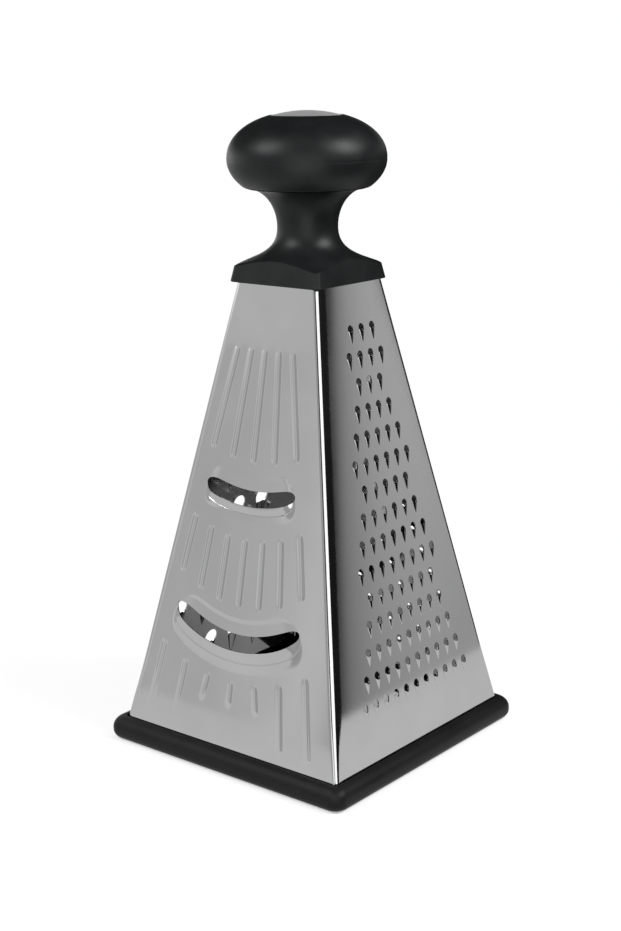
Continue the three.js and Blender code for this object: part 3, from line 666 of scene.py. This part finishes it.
def grating_panel(teeth, seam=SEAM_ANGLE):
    return pressed_panel([tooth(x, y, teeth) for x, y in tooth_places(teeth)], seam)


def arc_level(x, level, arc):
    """Height of an arc that sags in the middle of the slicing panel."""
    return level + arc - sqrt(arc ** 2 - (x - SLICER_OFFSET) ** 2)


def blade_profile(share):
    """Height of the blade from its foot, 0, to its cutting edge, 1, with a crease on the way."""
    swell = smooth_step(share, 0.0, BLADE_SWELL_END) / smooth_step(1.0, 0.0, BLADE_SWELL_END)
    crease = smooth_step(share, BLADE_CREASE - BLADE_CREASE_HALF, BLADE_CREASE + BLADE_CREASE_HALF)
    return swell - BLADE_CREASE_DEPTH * crease * (1 - smooth_step(share, BLADE_CREASE, 1.0))


def dish_profile(share):
    """Depth of the dish from its upper border, 0, to the slot, 1: a step down to an even floor."""
    return smooth_step(share, 0.0, DISH_STEP)


def curved_slot(level, arc, span, width, blade):
    """Curved slot: the sheet below is drawn out into a blade, the sheet above is dished in."""
    swing = asin(span / 2 / arc)
    stations = [-cos(pi * k / SLOT_STATIONS) for k in range(1, SLOT_STATIONS)]

    def draw(sheet, base):
        ends = []
        for side in (-1, 1):
            x = SLICER_OFFSET + side * arc * sin(swing)
            ends.append(sheet.on(x, level + arc - arc * cos(swing), base))

        def row(reach, height):
            """Row `reach` below the slot's middle line and `height` out, both none at the ends."""
            line = [ends[0]]
            for s in stations:
                spread = sqrt(1 - s ** SLOT_END_POWER)
                swell = smooth_step(1 - abs(s), 0, BLADE_RAMP)
                radius = arc + reach * spread
                x = SLICER_OFFSET + radius * sin(s * swing)
                y = level + arc - radius * cos(s * swing)
                line.append(sheet.on(x, y, base + height * swell))
            return [*line, ends[1]]

        blades = []
        for share in BLADE_STEPS:
            blades.append(row(width / 2 + blade * (1 - share), BLADE_HEIGHT * blade_profile(share)))
        dishes = []
        for share in DISH_STEPS:
            reach = -width / 2 - DISH_LENGTH * (1 - share)
            dishes.append(row(reach, -DISH_DEPTH * dish_profile(share)))
        for rows in (blades, dishes):
            for low, high in zip(rows, rows[1:]):
                sheet.strip(low, high)
        return blades[-1], dishes[0], [*blades[0], *reversed(dishes[-1][1:-1])]

    return opening(draw)


def rib(foot, top):
    """Pressed rib between two points of the panel's plane, with round ends and a soft crest."""
    foot, top = Vector(foot), Vector(top)
    along = (top - foot).normalized()
    across = Vector((along.y, -along.x))
    end_inset = RIB_HALF * (RIB_END_STRETCH - 1)

    def ring(sheet, share, base):
        reach = RIB_HALF * share
        shift = RIB_CREST_SHIFT * max(1 - share, 0.0)
        height = RIB_HEIGHT * smooth_step(RIB_FOOT_FLARE - share, 0, RIB_FOOT_FLARE - RIB_CREST)
        loop = []
        for end, turn, outward in ((top, 0, 1), (foot, pi, -1)):
            for angle in spread_evenly(turn, turn + pi, RIB_CAP_STEPS):
                sideways = reach * cos(angle) + shift
                lengthwise = RIB_END_STRETCH * reach * sin(angle) - outward * end_inset
                place = end + across * sideways + along * lengthwise
                loop.append(sheet.on(*place, base + height))
        return loop

    def draw(sheet, base):
        rings = [ring(sheet, share, base) for share in RIB_RINGS]
        for outer, inner in zip(rings, rings[1:]):
            sheet.band(outer, inner)
        crest = rings[-1]
        cap = RIB_CAP_STEPS + 1
        sheet.faces.append((crest[0], *crest[1:cap]))
        sheet.faces.append((crest[cap - 1], crest[cap], crest[-1], crest[0]))
        sheet.faces.append(tuple(crest[cap:]))
        return rings[0]

    return lambda sheet: (draw(sheet, 0.0), draw(sheet, BACK))


def rib_fan(count, top_pitch, foot_pitch, top_at, foot_at):
    for k in range(count):
        step = k - (count - 1) / 2
        top_x = SLICER_OFFSET + step * top_pitch
        foot_x = SLICER_OFFSET + step * foot_pitch
        yield rib((foot_x, foot_at(foot_x, step)), (top_x, top_at(top_x)))


def slicing_panel():
    def beside(slot_sizes, shift):
        return lambda x, step=0: arc_level(x, slot_sizes["level"] + shift, slot_sizes["arc"])

    def under_lower(x):
        return arc_level(x, LOWER_SLOT["level"] - BLADE_RIB_CLEARANCE, LOWER_RIB_ARC)

    def lower_foot(x, step):
        return LOWER_RIB_FOOT if abs(step) > 1 else LOWER_RIB_SHORT_FOOT

    over_upper = beside(UPPER_SLOT, RIB_SLOT_CLEARANCE)
    over_lower = beside(LOWER_SLOT, RIB_SLOT_CLEARANCE)
    under_upper = beside(UPPER_SLOT, -BLADE_RIB_CLEARANCE)
    return pressed_panel([
        curved_slot(**UPPER_SLOT),
        curved_slot(**LOWER_SLOT),
        *rib_fan(*UPPER_FAN, lambda x: SLOPE_LENGTH - UPPER_RIB_MARGIN, over_upper),
        *rib_fan(*MIDDLE_FAN, under_upper, over_lower),
        *rib_fan(*LOWER_FAN, under_lower, lower_foot),
    ])


def make_panel(name, sheet, turn, material, node):
    """Turns a panel made facing -Y to its own side; the turn is in quarters."""
    turned = Matrix.Rotation(turn * pi / 2, 3, "Z")
    points = [turned @ Vector(p) for p in sheet.points]
    make_piece(name, points, sheet.faces, material, "panel_steel", node)


# Mouldings

def rounded_square(half, radius, z, steps):
    loop = []
    for corner in range(4):
        centre = (half - radius, half - radius)
        for x, y in arc_points(centre, radius, 0, 90, steps):
            for _ in range(corner):
                x, y = -y, x
            loop.append((x, y, z))
    return loop


def make_rim(material):
    """Bullnosed ring with a groove that the steel stands in."""
    groove_in = LAYERED_WALL + GAP
    inside = BODY_HALF_LOW - groove_in - RIM_INNER_WALL
    groove_corner = BEND_RADIUS + GAP
    inner_corner = RIM_INNER_WALL / 2
    top_centre = (RIM_HALF - RIM_TOP_ROUND, RIM_HEIGHT - RIM_TOP_ROUND)
    foot_centre = (RIM_HALF - RIM_FOOT_ROUND, RIM_FOOT_ROUND)
    top = arc_points(top_centre, RIM_TOP_ROUND, 90, 0, RIM_STEPS)
    foot = arc_points(foot_centre, RIM_FOOT_ROUND, 0, -90, RIM_FOOT_STEPS)
    rows = [(BODY_HALF_LOW + GAP, RIM_HEIGHT - GAP, groove_corner)]
    rows.append((BODY_HALF_LOW + 2 * GAP, RIM_HEIGHT, groove_corner))
    rows += [(half, z, RIM_CORNER_RADIUS - (RIM_HALF - half) / 2) for half, z in (*top, *foot)]
    rows += [(inside, 0, inner_corner), (inside, RIM_HEIGHT - GAP, inner_corner)]
    rows.append((BODY_HALF_LOW - groove_in, RIM_HEIGHT - GAP, inner_corner))
    rows.append((body_half(RIM_FLOOR) - groove_in, RIM_FLOOR, inner_corner))
    rows.append((body_half(RIM_FLOOR) + GAP, RIM_FLOOR, groove_corner))
    loops = [rounded_square(half, radius, z, RIM_STEPS) for half, z, radius in rows]
    make_ring("rim_moulding", loops, material, "rim_rubber", "base_rim")


def square_reach(angle, half, radius):
    """Distance from the axis to a rounded square along a direction."""
    folded = abs((angle + pi / 4) % (pi / 2) - pi / 4)
    if half * tan(folded) <= half - radius:
        return half / cos(folded)
    ahead = (half - radius) * (cos(folded) + sin(folded))
    return ahead + sqrt(ahead ** 2 - 2 * (half - radius) ** 2 + radius ** 2)


def collar_half(z):
    """Outside half width of the collar at a height."""
    return body_half(z) + GAP + COLLAR_LIP


def flare_point(share):
    """Neck's lower flare, from the collar's corner, 0, to the waist, 1."""
    reach = collar_half(COLLAR_FOOT) * sqrt(2)
    points = (
        Vector((reach, COLLAR_FOOT + COLLAR_CORNER_HEIGHT)),
        Vector((FLARE_HANDLE_RADIUS, COLLAR_FOOT + FLARE_HANDLE_HEIGHT)),
        Vector((WAIST_RADIUS, WAIST_LEVEL - WAIST_HANDLE)),
        Vector((WAIST_RADIUS, WAIST_LEVEL)),
    )
    rest = 1 - share
    weights = (rest ** 3, 3 * share * rest ** 2, 3 * share ** 2 * rest, share ** 3)
    return sum((p * w for p, w in zip(points, weights)), Vector((0, 0)))


def neck_column(angle):
    """Closed section of the neck in one direction, as (radius, height) points."""
    def outside(share):
        radius, z = flare_point(share)
        return radius > square_reach(angle, collar_half(z), COLLAR_EDGE_ROUND)

    low, high = 0.0, 1.0
    for _ in range(FLARE_SEARCHES):
        middle = (low + high) / 2
        low, high = (middle, high) if outside(middle) else (low, middle)
    crease_level = flare_point(high)[1]
    start = high
    while flare_point(start)[1] < crease_level + COLLAR_BEVEL:
        start += FLARE_STRIDE
    column = [(SPIGOT_RADIUS, SPIGOT_TOP), (SPIGOT_RADIUS, NECK_TOP)]
    column.append((NECK_TOP_RADIUS - GAP, NECK_TOP))
    centre = (NECK_TOP_RADIUS, WAIST_LEVEL)
    radii = (NECK_TOP_RADIUS - WAIST_RADIUS, NECK_FLARE_HEIGHT)
    column += arc_points(centre, radii, *NECK_FLARE_ANGLES, NECK_FLARE_STEPS)
    shares = spread_evenly(1.0, start, COLLAR_FLARE_STEPS)[1:]
    column += [tuple(flare_point(share)) for share in shares]
    wall_top = crease_level - COLLAR_BEVEL
    wall = spread_evenly(wall_top, COLLAR_FOOT + COLLAR_BEVEL, COLLAR_WALL_STEPS)
    for z in (*wall, COLLAR_FOOT):
        inset = COLLAR_BEVEL if z == COLLAR_FOOT else 0.0
        column.append((square_reach(angle, collar_half(z) - inset, COLLAR_EDGE_ROUND), z))
    socket_top = PANEL_TOP + GAP
    for z in (COLLAR_FOOT, socket_top):
        column.append((square_reach(angle, body_half(z) + GAP, COLLAR_SOCKET_ROUND), z))
    bore = BOLT_RADIUS + GAP
    return [*column, (bore, socket_top), (bore, SPIGOT_TOP)]


def make_neck(material):
    """Waisted neck that flares into a square collar over the panels."""
    half = collar_half(COLLAR_FOOT)
    angles = []
    for x, y, _ in rounded_square(half, COLLAR_EDGE_ROUND, COLLAR_FOOT, COLLAR_CORNER_STEPS):
        angles.append(atan2(y, x))
    flat = atan2(half - COLLAR_EDGE_ROUND, half)
    along_side = spread_evenly(-flat, flat, COLLAR_SIDE_STEPS)[1:-1]
    for side in range(4):
        angles += [side * pi / 2 + a for a in along_side]
    angles = sorted(a % (2 * pi) for a in angles)
    columns = [neck_column(a) for a in angles]
    loops = []
    for level in range(len(columns[0])):
        places = [(angle, *column[level]) for angle, column in zip(angles, columns)]
        loops.append([(r * cos(a), r * sin(a), z) for a, r, z in places])
    make_ring("neck_moulding", loops, material, "knob_plastic", "neck_collar")


def crown_points(start, end, steps):
    """Outline of the knob's upper half between two radii: an ellipse with a fuller shoulder."""
    turns = [acos((r / KNOB_RADIUS) ** (CROWN_POWER / 2)) for r in (start, end)]
    points = []
    for turn in spread_evenly(*turns, steps):
        across = max(cos(turn), 0.0) ** (2 / CROWN_POWER)
        up = sin(turn) ** (2 / CROWN_POWER)
        points.append((KNOB_RADIUS * across, KNOB_EQUATOR + KNOB_UPPER_RISE * up))
    return points


def make_knob(material):
    """Mushroom knob with a lip at its foot, a parting line and a pocket for the disc."""
    foot_angle = degrees(acos((KNOB_FOOT_RADIUS + KNOB_FOOT_STEP) / KNOB_RADIUS))
    pocket = DISC_RADIUS + GAP
    seam = degrees(PARTING_HALF_ANGLE)
    centre = (0, KNOB_EQUATOR)
    radii = (KNOB_RADIUS, KNOB_LOWER_RISE)
    lower = arc_points(centre, radii, -foot_angle, -seam, KNOB_LOWER_STEPS)
    seam_radius = KNOB_RADIUS * cos(PARTING_HALF_ANGLE)
    upper = crown_points(seam_radius, pocket + POCKET_ROUND, KNOB_UPPER_STEPS)
    socket = SPIGOT_RADIUS + GAP
    socket_top = SPIGOT_TOP + GAP
    pocket_floor = DISC_FOOT - GAP
    sink = WASHER_RADIUS + GAP
    sink_floor = BOLT_BOX[1].z - KNOB_SINK_DEPTH
    bore = BOLT_RADIUS + GAP
    rim_top = upper[-1][1]
    outline = [(bore, socket_top), (socket, socket_top), (socket, KNOB_FOOT)]
    outline.append((KNOB_FOOT_RADIUS - KNOB_FOOT_BEVEL, KNOB_FOOT))
    outline.append((KNOB_FOOT_RADIUS, KNOB_FOOT + KNOB_FOOT_BEVEL))
    outline += [(KNOB_FOOT_RADIUS + KNOB_LIP_LEAN, KNOB_FOOT + KNOB_FOOT_LIP), *lower]
    outline += [(KNOB_RADIUS - PARTING_DEPTH, KNOB_EQUATOR), *upper]
    outline += [(pocket, rim_top - POCKET_ROUND), (pocket, pocket_floor), (sink, pocket_floor)]
    outline += [(sink, sink_floor), (bore, sink_floor)]
    make_ring("knob_moulding", turned_loops(outline), material, "knob_plastic", "knob_grip")


def make_disc(material):
    """Domed disc, let into the knob's crown, with a broken edge."""
    flat_radius = DISC_RADIUS - DISC_EDGE_ROUND
    rise = crown_points(flat_radius, 0.0, 1)
    edge_top = rise[0][1] - DISC_SINK
    bulge = rise[1][1] - edge_top
    dome = []
    for share in spread_evenly(1.0, 0.0, DISC_STEPS):
        dome.append((flat_radius * share, edge_top + bulge * (1 - share ** 2)))
    outline = [(0, DISC_FOOT), (flat_radius, DISC_FOOT), (DISC_RADIUS, DISC_FOOT + DISC_EDGE_ROUND)]
    outline += [(DISC_RADIUS, edge_top - DISC_EDGE_ROUND), *dome]
    make_piece("disc_cap", *turned_solid(outline), material, "disc_steel", "cap_disc")


# Fasteners inside

def make_bolt(material):
    """Bolt with a rounded head and a rolled thread on its lower end."""
    low, high = BOLT_BOX[0].z, BOLT_BOX[1].z
    head_radius = BOLT_BOX[1].x
    head_foot = high - BOLT_HEAD_HEIGHT
    shank = BOLT_RADIUS - BOLT_SHANK_CUT
    outline = [(0, low), (BOLT_RADIUS - THREAD_DEPTH, low)]
    z = low + THREAD_PITCH / 2
    while z < LOCK_WASHER_BOX[1].z + THREAD_PAST_WASHER:
        outline += [(BOLT_RADIUS, z), (BOLT_RADIUS - THREAD_DEPTH, z + THREAD_PITCH / 2)]
        z += THREAD_PITCH
    outline += [(shank, z), (shank, head_foot), (head_radius, head_foot)]
    outline.append((head_radius, high - BOLT_HEAD_CHAMFER))
    outline.append((head_radius - BOLT_HEAD_ROUND, high - BOLT_HEAD_ROUND))
    outline += [(head_radius - BOLT_HEAD_CHAMFER, high), (0, high)]
    solid = turned_solid(outline, BOLT_SEGMENTS)
    make_piece("bolt_turned", *solid, material, "zinc_steel", "tie_bolt")


def make_nut(material):
    """Hexagon nut with both faces chamfered to a cone."""
    low, high = NUT_BOX[0].z, NUT_BOX[1].z
    flats = NUT_BOX[1].y
    angles = [2 * pi * k / NUT_SEGMENTS for k in range(NUT_SEGMENTS)]

    def loop(radius_at, z):
        return [(radius_at(a) * cos(a), radius_at(a) * sin(a), z) for a in angles]

    def hexagon(a):
        return flats / cos((a + pi / 2) % (pi / 3) - pi / 6)

    def chamfer(z):
        drop = min(z - low, high - z)
        return lambda a: min(hexagon(a), flats * NUT_CONE_SHARE + drop * NUT_CONE_SLOPE)

    bore = BOLT_RADIUS + NUT_BORE_GAP
    rises = (0, NUT_CONE_STEP, 2 * NUT_CONE_STEP)
    levels = (*[low + rise for rise in rises], *[high - rise for rise in reversed(rises)])
    loops = [loop(chamfer(z), z) for z in levels]
    wide = bore + NUT_BORE_CHAMFER
    loops += [loop(lambda a: wide, high), loop(lambda a: bore, high - NUT_BORE_CHAMFER)]
    loops += [loop(lambda a: bore, low + NUT_BORE_CHAMFER), loop(lambda a: wide, low)]
    make_ring("nut_hexagon", loops, material, "zinc_steel", "clamp_nut")


# Studio

CAMERA_AZIMUTH = 39.1222
CAMERA_ELEVATION = 16.1679
CAMERA_ROLL = -0.6773
CAMERA_DISTANCE = 644.24
CAMERA_TARGET = (0.0, 0.0, 89.15)
FRAME_WIDTH = 621
FRAME_HEIGHT = 931
FOCAL_PIXELS = 1597.3973
PRINCIPAL_PIXEL = (311.166, 521.5171)
SENSOR = 36.0
CLIP_START = 10


def make_camera():
    azimuth = radians(CAMERA_AZIMUTH)
    elevation = radians(CAMERA_ELEVATION)
    back = Vector((
        sin(azimuth) * cos(elevation),
        -cos(azimuth) * cos(elevation),
        sin(elevation)))
    right = Vector((cos(azimuth), sin(azimuth), 0))
    up = back.cross(right)
    roll = radians(CAMERA_ROLL)
    rolled_right = right * cos(roll) + up * sin(roll)
    rolled_up = up * cos(roll) - right * sin(roll)
    data = bpy.data.cameras.new("photo_camera")
    data.sensor_width = SENSOR
    data.lens = FOCAL_PIXELS / FRAME_HEIGHT * SENSOR
    data.shift_x = (FRAME_WIDTH / 2 - PRINCIPAL_PIXEL[0]) / FRAME_HEIGHT
    data.shift_y = (PRINCIPAL_PIXEL[1] - FRAME_HEIGHT / 2) / FRAME_HEIGHT
    data.clip_start = CLIP_START * MM
    camera = bpy.data.objects.new("photo_camera", data)
    turned = Matrix((rolled_right, rolled_up, back)).transposed().to_4x4()
    place = (Vector(CAMERA_TARGET) + back * CAMERA_DISTANCE) * MM
    camera.matrix_world = Matrix.Translation(place) @ turned
    scene.collection.objects.link(camera)
    scene.camera = camera


# Softboxes: name, direction from the object's middle and power in watts.
SOFTBOXES = (
    ("softbox_left", (-0.346, -0.668, 0.7), 6.5),
    ("softbox_right", (0.724, 0.203, 0.7), 10.0),
)
SOFTBOX_DISTANCE = 900
SOFTBOX_SIZE = 400
OBJECT_MIDDLE = 130
ROOM_FILL = 0.5


def make_softbox(name, direction, power):
    """Square area lamp aimed at the object's middle."""
    data = bpy.data.lights.new(name, "AREA")
    data.shape = "SQUARE"
    data.size = SOFTBOX_SIZE * MM
    data.energy = power
    lamp = bpy.data.objects.new(name, data)
    middle = Vector((0, 0, OBJECT_MIDDLE * MM))
    lamp.location = middle + Vector(direction).normalized() * SOFTBOX_DISTANCE * MM
    lamp.rotation_mode = "QUATERNION"
    lamp.rotation_quaternion = (middle - lamp.location).to_track_quat("-Z", "Y")
    scene.collection.objects.link(lamp)


def seen_background(tree):
    """1 on rays from the camera and on mirrored or transmitted ones, 0 on the light's own rays."""
    rays = add_node(tree, "LightPath").outputs
    total = rays["Is Camera Ray"]
    for ray in ("Is Glossy Ray", "Is Transmission Ray"):
        larger = add_node(tree, "Math", {0: total, 1: rays[ray]}, operation="MAXIMUM")
        total = larger.outputs[0]
    return total


def show(tree, share, low, high, output):
    """Sends a mix of two shaders to a tree's output."""
    mix = add_node(tree, "MixShader", {"Fac": share, 1: low, 2: high})
    tree.links.new(mix.outputs[0], tree.nodes[output].inputs["Surface"])


def make_world():
    """Grey light on the object, and white where the room itself is seen."""
    world = bpy.data.worlds.new("studio")
    scene.world = world
    world.use_nodes = True
    tree = world.node_tree
    room = tree.nodes["Background"]
    room.inputs["Color"].default_value = (ROOM_FILL, ROOM_FILL, ROOM_FILL, 1)
    white = add_node(tree, "Background", {"Color": (1, 1, 1, 1)})
    show(tree, seen_background(tree), room.outputs[0], white.outputs[0], "World Output")


def make_plane(name, corners, material):
    mesh = bpy.data.meshes.new(name)
    mesh.from_pydata([Vector(c) * MM for c in corners], [], [tuple(range(len(corners)))])
    mesh.materials.append(material)
    plane = bpy.data.objects.new(name, mesh)
    scene.collection.objects.link(plane)
    return plane


def graded(tree, distance, stops):
    """Grey that changes along a distance, from (millimetres, share) stops."""
    start, end = stops[0][0], stops[-1][0]
    inputs = {"Value": distance, "From Min": start * MM, "From Max": end * MM}
    span = add_node(tree, "MapRange", inputs)
    ramp = add_node(tree, "ValToRGB", {"Fac": span.outputs["Result"]})
    elements = ramp.color_ramp.elements
    for place, share in stops:
        if place == start:
            element = elements[0]
        elif place == end:
            element = elements[-1]
        else:
            element = elements.new((place - start) / (end - start))
        element.color = (share, share, share, 1)
    return ramp.outputs["Color"]


# Floor's own white glow, by the distance from the axis square to the body: painted shade, with
# little glow under the object and less near it than far off.
FLOOR_HALF = 3000
PAPER_GREY = 0.86
PAPER_ROUGHNESS = 0.9
FLOOR_GLOW_PAINTED_SHADE_STOPS = ((0, 0.2), (30, 0.22), (45, 0.31), (57, 0.31), (61, 0.8), (110, 0.8), (330, 1.0))


def make_floor():
    """White sweep: mostly its own white, with enough shading left for the object's shadow, and its
    glow turned down under and near the object as painted shade.
    """
    material, tree = node_material("floor_white")
    paper = tree.nodes["Principled BSDF"]
    paper.inputs["Base Color"].default_value = (PAPER_GREY, PAPER_GREY, PAPER_GREY, 1)
    paper.inputs["Roughness"].default_value = PAPER_ROUGHNESS
    paper.inputs["Specular IOR Level"].default_value = 0.0
    glow = add_node(tree, "Emission")
    place = add_node(tree, "TexCoord").outputs["Object"]
    unsigned = add_node(tree, "VectorMath", {0: place}, operation="ABSOLUTE")
    split = add_node(tree, "SeparateXYZ", {0: unsigned.outputs[0]}).outputs
    outward = add_node(tree, "Math", {0: split["X"], 1: split["Y"]}, operation="MAXIMUM")
    # Share of the floor's glow by place: painted shade under and near the object, with the paper's
    # real shading showing through.
    white = graded(tree, outward.outputs[0], FLOOR_GLOW_PAINTED_SHADE_STOPS)
    shares = {0: seen_background(tree), 1: white}
    share = add_node(tree, "Math", shares, operation="MULTIPLY")
    show(tree, share.outputs[0], paper.outputs[0], glow.outputs[0], "Material Output")
    h = FLOOR_HALF
    make_plane("floor", [(-h, -h, 0), (h, -h, 0), (h, h, 0), (-h, h, 0)], material)


CARD_HEIGHT = 260
CANOPY_REACH = 1300
CANOPY_FOOT = 480
CANOPY_TOP = 1150
CANOPY_GLOW = 0.02


def card_material(name, strength, along=None, stops=(), rise=None):
    """Glow of a studio card; with stops it is graded in a direction, and `strength` is its peak.

    A `rise` of two shares grades the glow between the card's foot and its head.
    """
    material, tree = node_material(name)
    tree.nodes.remove(tree.nodes["Principled BSDF"])
    glow = add_node(tree, "Emission", {"Strength": strength})
    if along:
        place = add_node(tree, "TexCoord").outputs["Object"]
        inputs = {0: place, 1: along}
        distance = add_node(tree, "VectorMath", inputs, operation="DOT_PRODUCT")
        shares = [(at, glows / strength) for at, glows in stops]
        tree.links.new(graded(tree, distance.outputs["Value"], shares), glow.inputs["Color"])
    if rise:
        height = add_node(tree, "SeparateXYZ", {0: place}).outputs["Z"]
        inputs = {"Value": height, "From Max": CARD_HEIGHT * MM}
        inputs |= {"To Min": strength * rise[0], "To Max": strength * rise[1]}
        span = add_node(tree, "MapRange", inputs)
        tree.links.new(span.outputs["Result"], glow.inputs["Strength"])
    tree.links.new(glow.outputs[0], tree.nodes["Material Output"].inputs["Surface"])
    return material


def make_card(name, corners, material):
    """Studio card that only shows in the steel: it neither lights the object nor hides it."""
    card = make_plane(name, corners, material)
    for ray in ("camera", "diffuse", "shadow", "transmission"):
        setattr(card, "visible_" + ray, False)


def standing(start, end, low=0.0, high=CARD_HEIGHT):
    """Corners of an upright card between two (x, y) places."""
    return [(*start, low), (*end, low), (*end, high), (*start, high)]


def make_canopy():
    """Dark ceiling and upper walls of the studio, above the white sweep."""
    reach = CANOPY_REACH
    corners = [(-reach, -reach), (reach, -reach), (reach, reach), (-reach, reach)]
    dark = card_material("canopy_dark", CANOPY_GLOW)
    make_card("canopy_ceiling", [(*corner, CANOPY_TOP) for corner in corners], dark)
    for k, corner in enumerate(corners):
        wall = standing(corner, corners[(k + 1) % 4], CANOPY_FOOT, CANOPY_TOP)
        make_card(f"canopy_wall_{k}", wall, dark)


# Graded cards round the object, seen only in its surfaces: glow by place along each card.
LEFT_CARD_X = -300
FRONT_CARD_Y = -210
SIDE_CARD_X = 190
BACK_CARD_Y = 245
BACK_CARD_END = -150
CARD_STEP = 1
LEFT_PEAK = 2.3
WHITE_GLOW = 2.6
SIDE_PEAK = 1.0
HIGH_GLOW = 1.0
BACK_GLOW = 0.05
LEFT_STOPS = ((0, 0.75), (120, 0.77), (165, 0.9), (200, 1.25), (245, 2.3), (260, 2.3))
FRONT_STOPS = (
    (-300, 1.15), (-228, 1.08), (-209, 0.87), (-150, 0.9), (-110, 0.98), (-88, 1.1), (-72, 1.05),
    (-55, 0.72), (-10, 0.66), (46, 0.75), (54, 2.6), (190, 2.6))
SIDE_CARD_LEAN = -0.44
SIDE_STOPS = (
    (-340, 0.02), (105, 0.02), (108, 0.33), (113, 0.48), (119, 0.56), (128, 0.65), (140, 0.73),
    (156, 0.79), (181, 0.85), (250, 0.85))
SIDE_RISE = (0.78, 1.28)
HIGH_CARD_FOOT = 192
HIGH_CARD_END = -60
CORNER_CARD_START = 56
CORNER_CARD_END = -108
CORNER_CARD_HEIGHT = 340


def make_cards():
    """Cards on the four sides, and the high and corner cards one step in front of them."""
    left_front = (LEFT_CARD_X, FRONT_CARD_Y)
    right_front = (SIDE_CARD_X, FRONT_CARD_Y)
    right_back = (SIDE_CARD_X, BACK_CARD_Y)
    left = card_material("card_left", LEFT_PEAK, (0, 0, 1), LEFT_STOPS)
    make_card("card_left", standing((LEFT_CARD_X, BACK_CARD_Y), left_front), left)
    front = card_material("card_front", WHITE_GLOW, (1, 0, 0), FRONT_STOPS)
    make_card("card_front", standing(left_front, right_front), front)
    corner = (SIDE_CARD_X - CARD_STEP, FRONT_CARD_Y + CARD_STEP)
    high_line = ((LEFT_CARD_X, corner[1]), (HIGH_CARD_END, corner[1]))
    high = card_material("card_high", HIGH_GLOW)
    make_card("card_high", standing(*high_line, HIGH_CARD_FOOT), high)
    side = card_material("card_side", SIDE_PEAK, (0, 1, SIDE_CARD_LEAN), SIDE_STOPS, SIDE_RISE)
    make_card("card_side", standing(right_front, right_back), side)
    white = card_material("card_corner", WHITE_GLOW)
    ends = {"front": (CORNER_CARD_START, corner[1]), "side": (corner[0], CORNER_CARD_END)}
    for name, end in ends.items():
        make_card("card_corner_" + name, standing(corner, end, 0.0, CORNER_CARD_HEIGHT), white)
    back = card_material("card_back", BACK_GLOW)
    make_card("card_back", standing(right_back, (BACK_CARD_END, BACK_CARD_Y)), back)


def make_studio():
    make_floor()
    make_world()
    make_canopy()
    for softbox in SOFTBOXES:
        make_softbox(*softbox)
    make_cards()


def main():
    steel = panel_steel()
    plastic = mottled("knob_plastic", **PLASTIC)
    rubber = mottled("rim_rubber", **RUBBER)
    zinc = mottled("zinc_steel", **ZINC)
    make_camera()
    make_rim(rubber)
    make_panel("slicer_sheet", slicing_panel(), 0, steel, "panel_slicer")
    make_panel("medium_sheet", grating_panel(MEDIUM_TEETH), 1, steel, "panel_medium")
    make_panel("fine_sheet", grating_panel(FINE_TEETH), 2, steel, "panel_fine")
    coarse = grating_panel(COARSE_TEETH, COARSE_SEAM_ANGLE)
    make_panel("coarse_sheet", coarse, 3, steel, "panel_coarse")
    make_neck(plastic)
    make_knob(plastic)
    make_disc(disc_steel())
    make_bolt(zinc)
    make_nut(zinc)
    for name in ("clamp_plate", "lock_washer", "bolt_washer"):
        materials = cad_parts[name].data.materials
        materials.clear()
        materials.append(zinc)
    make_studio()
    scene.view_settings.view_transform = "Standard"


main()
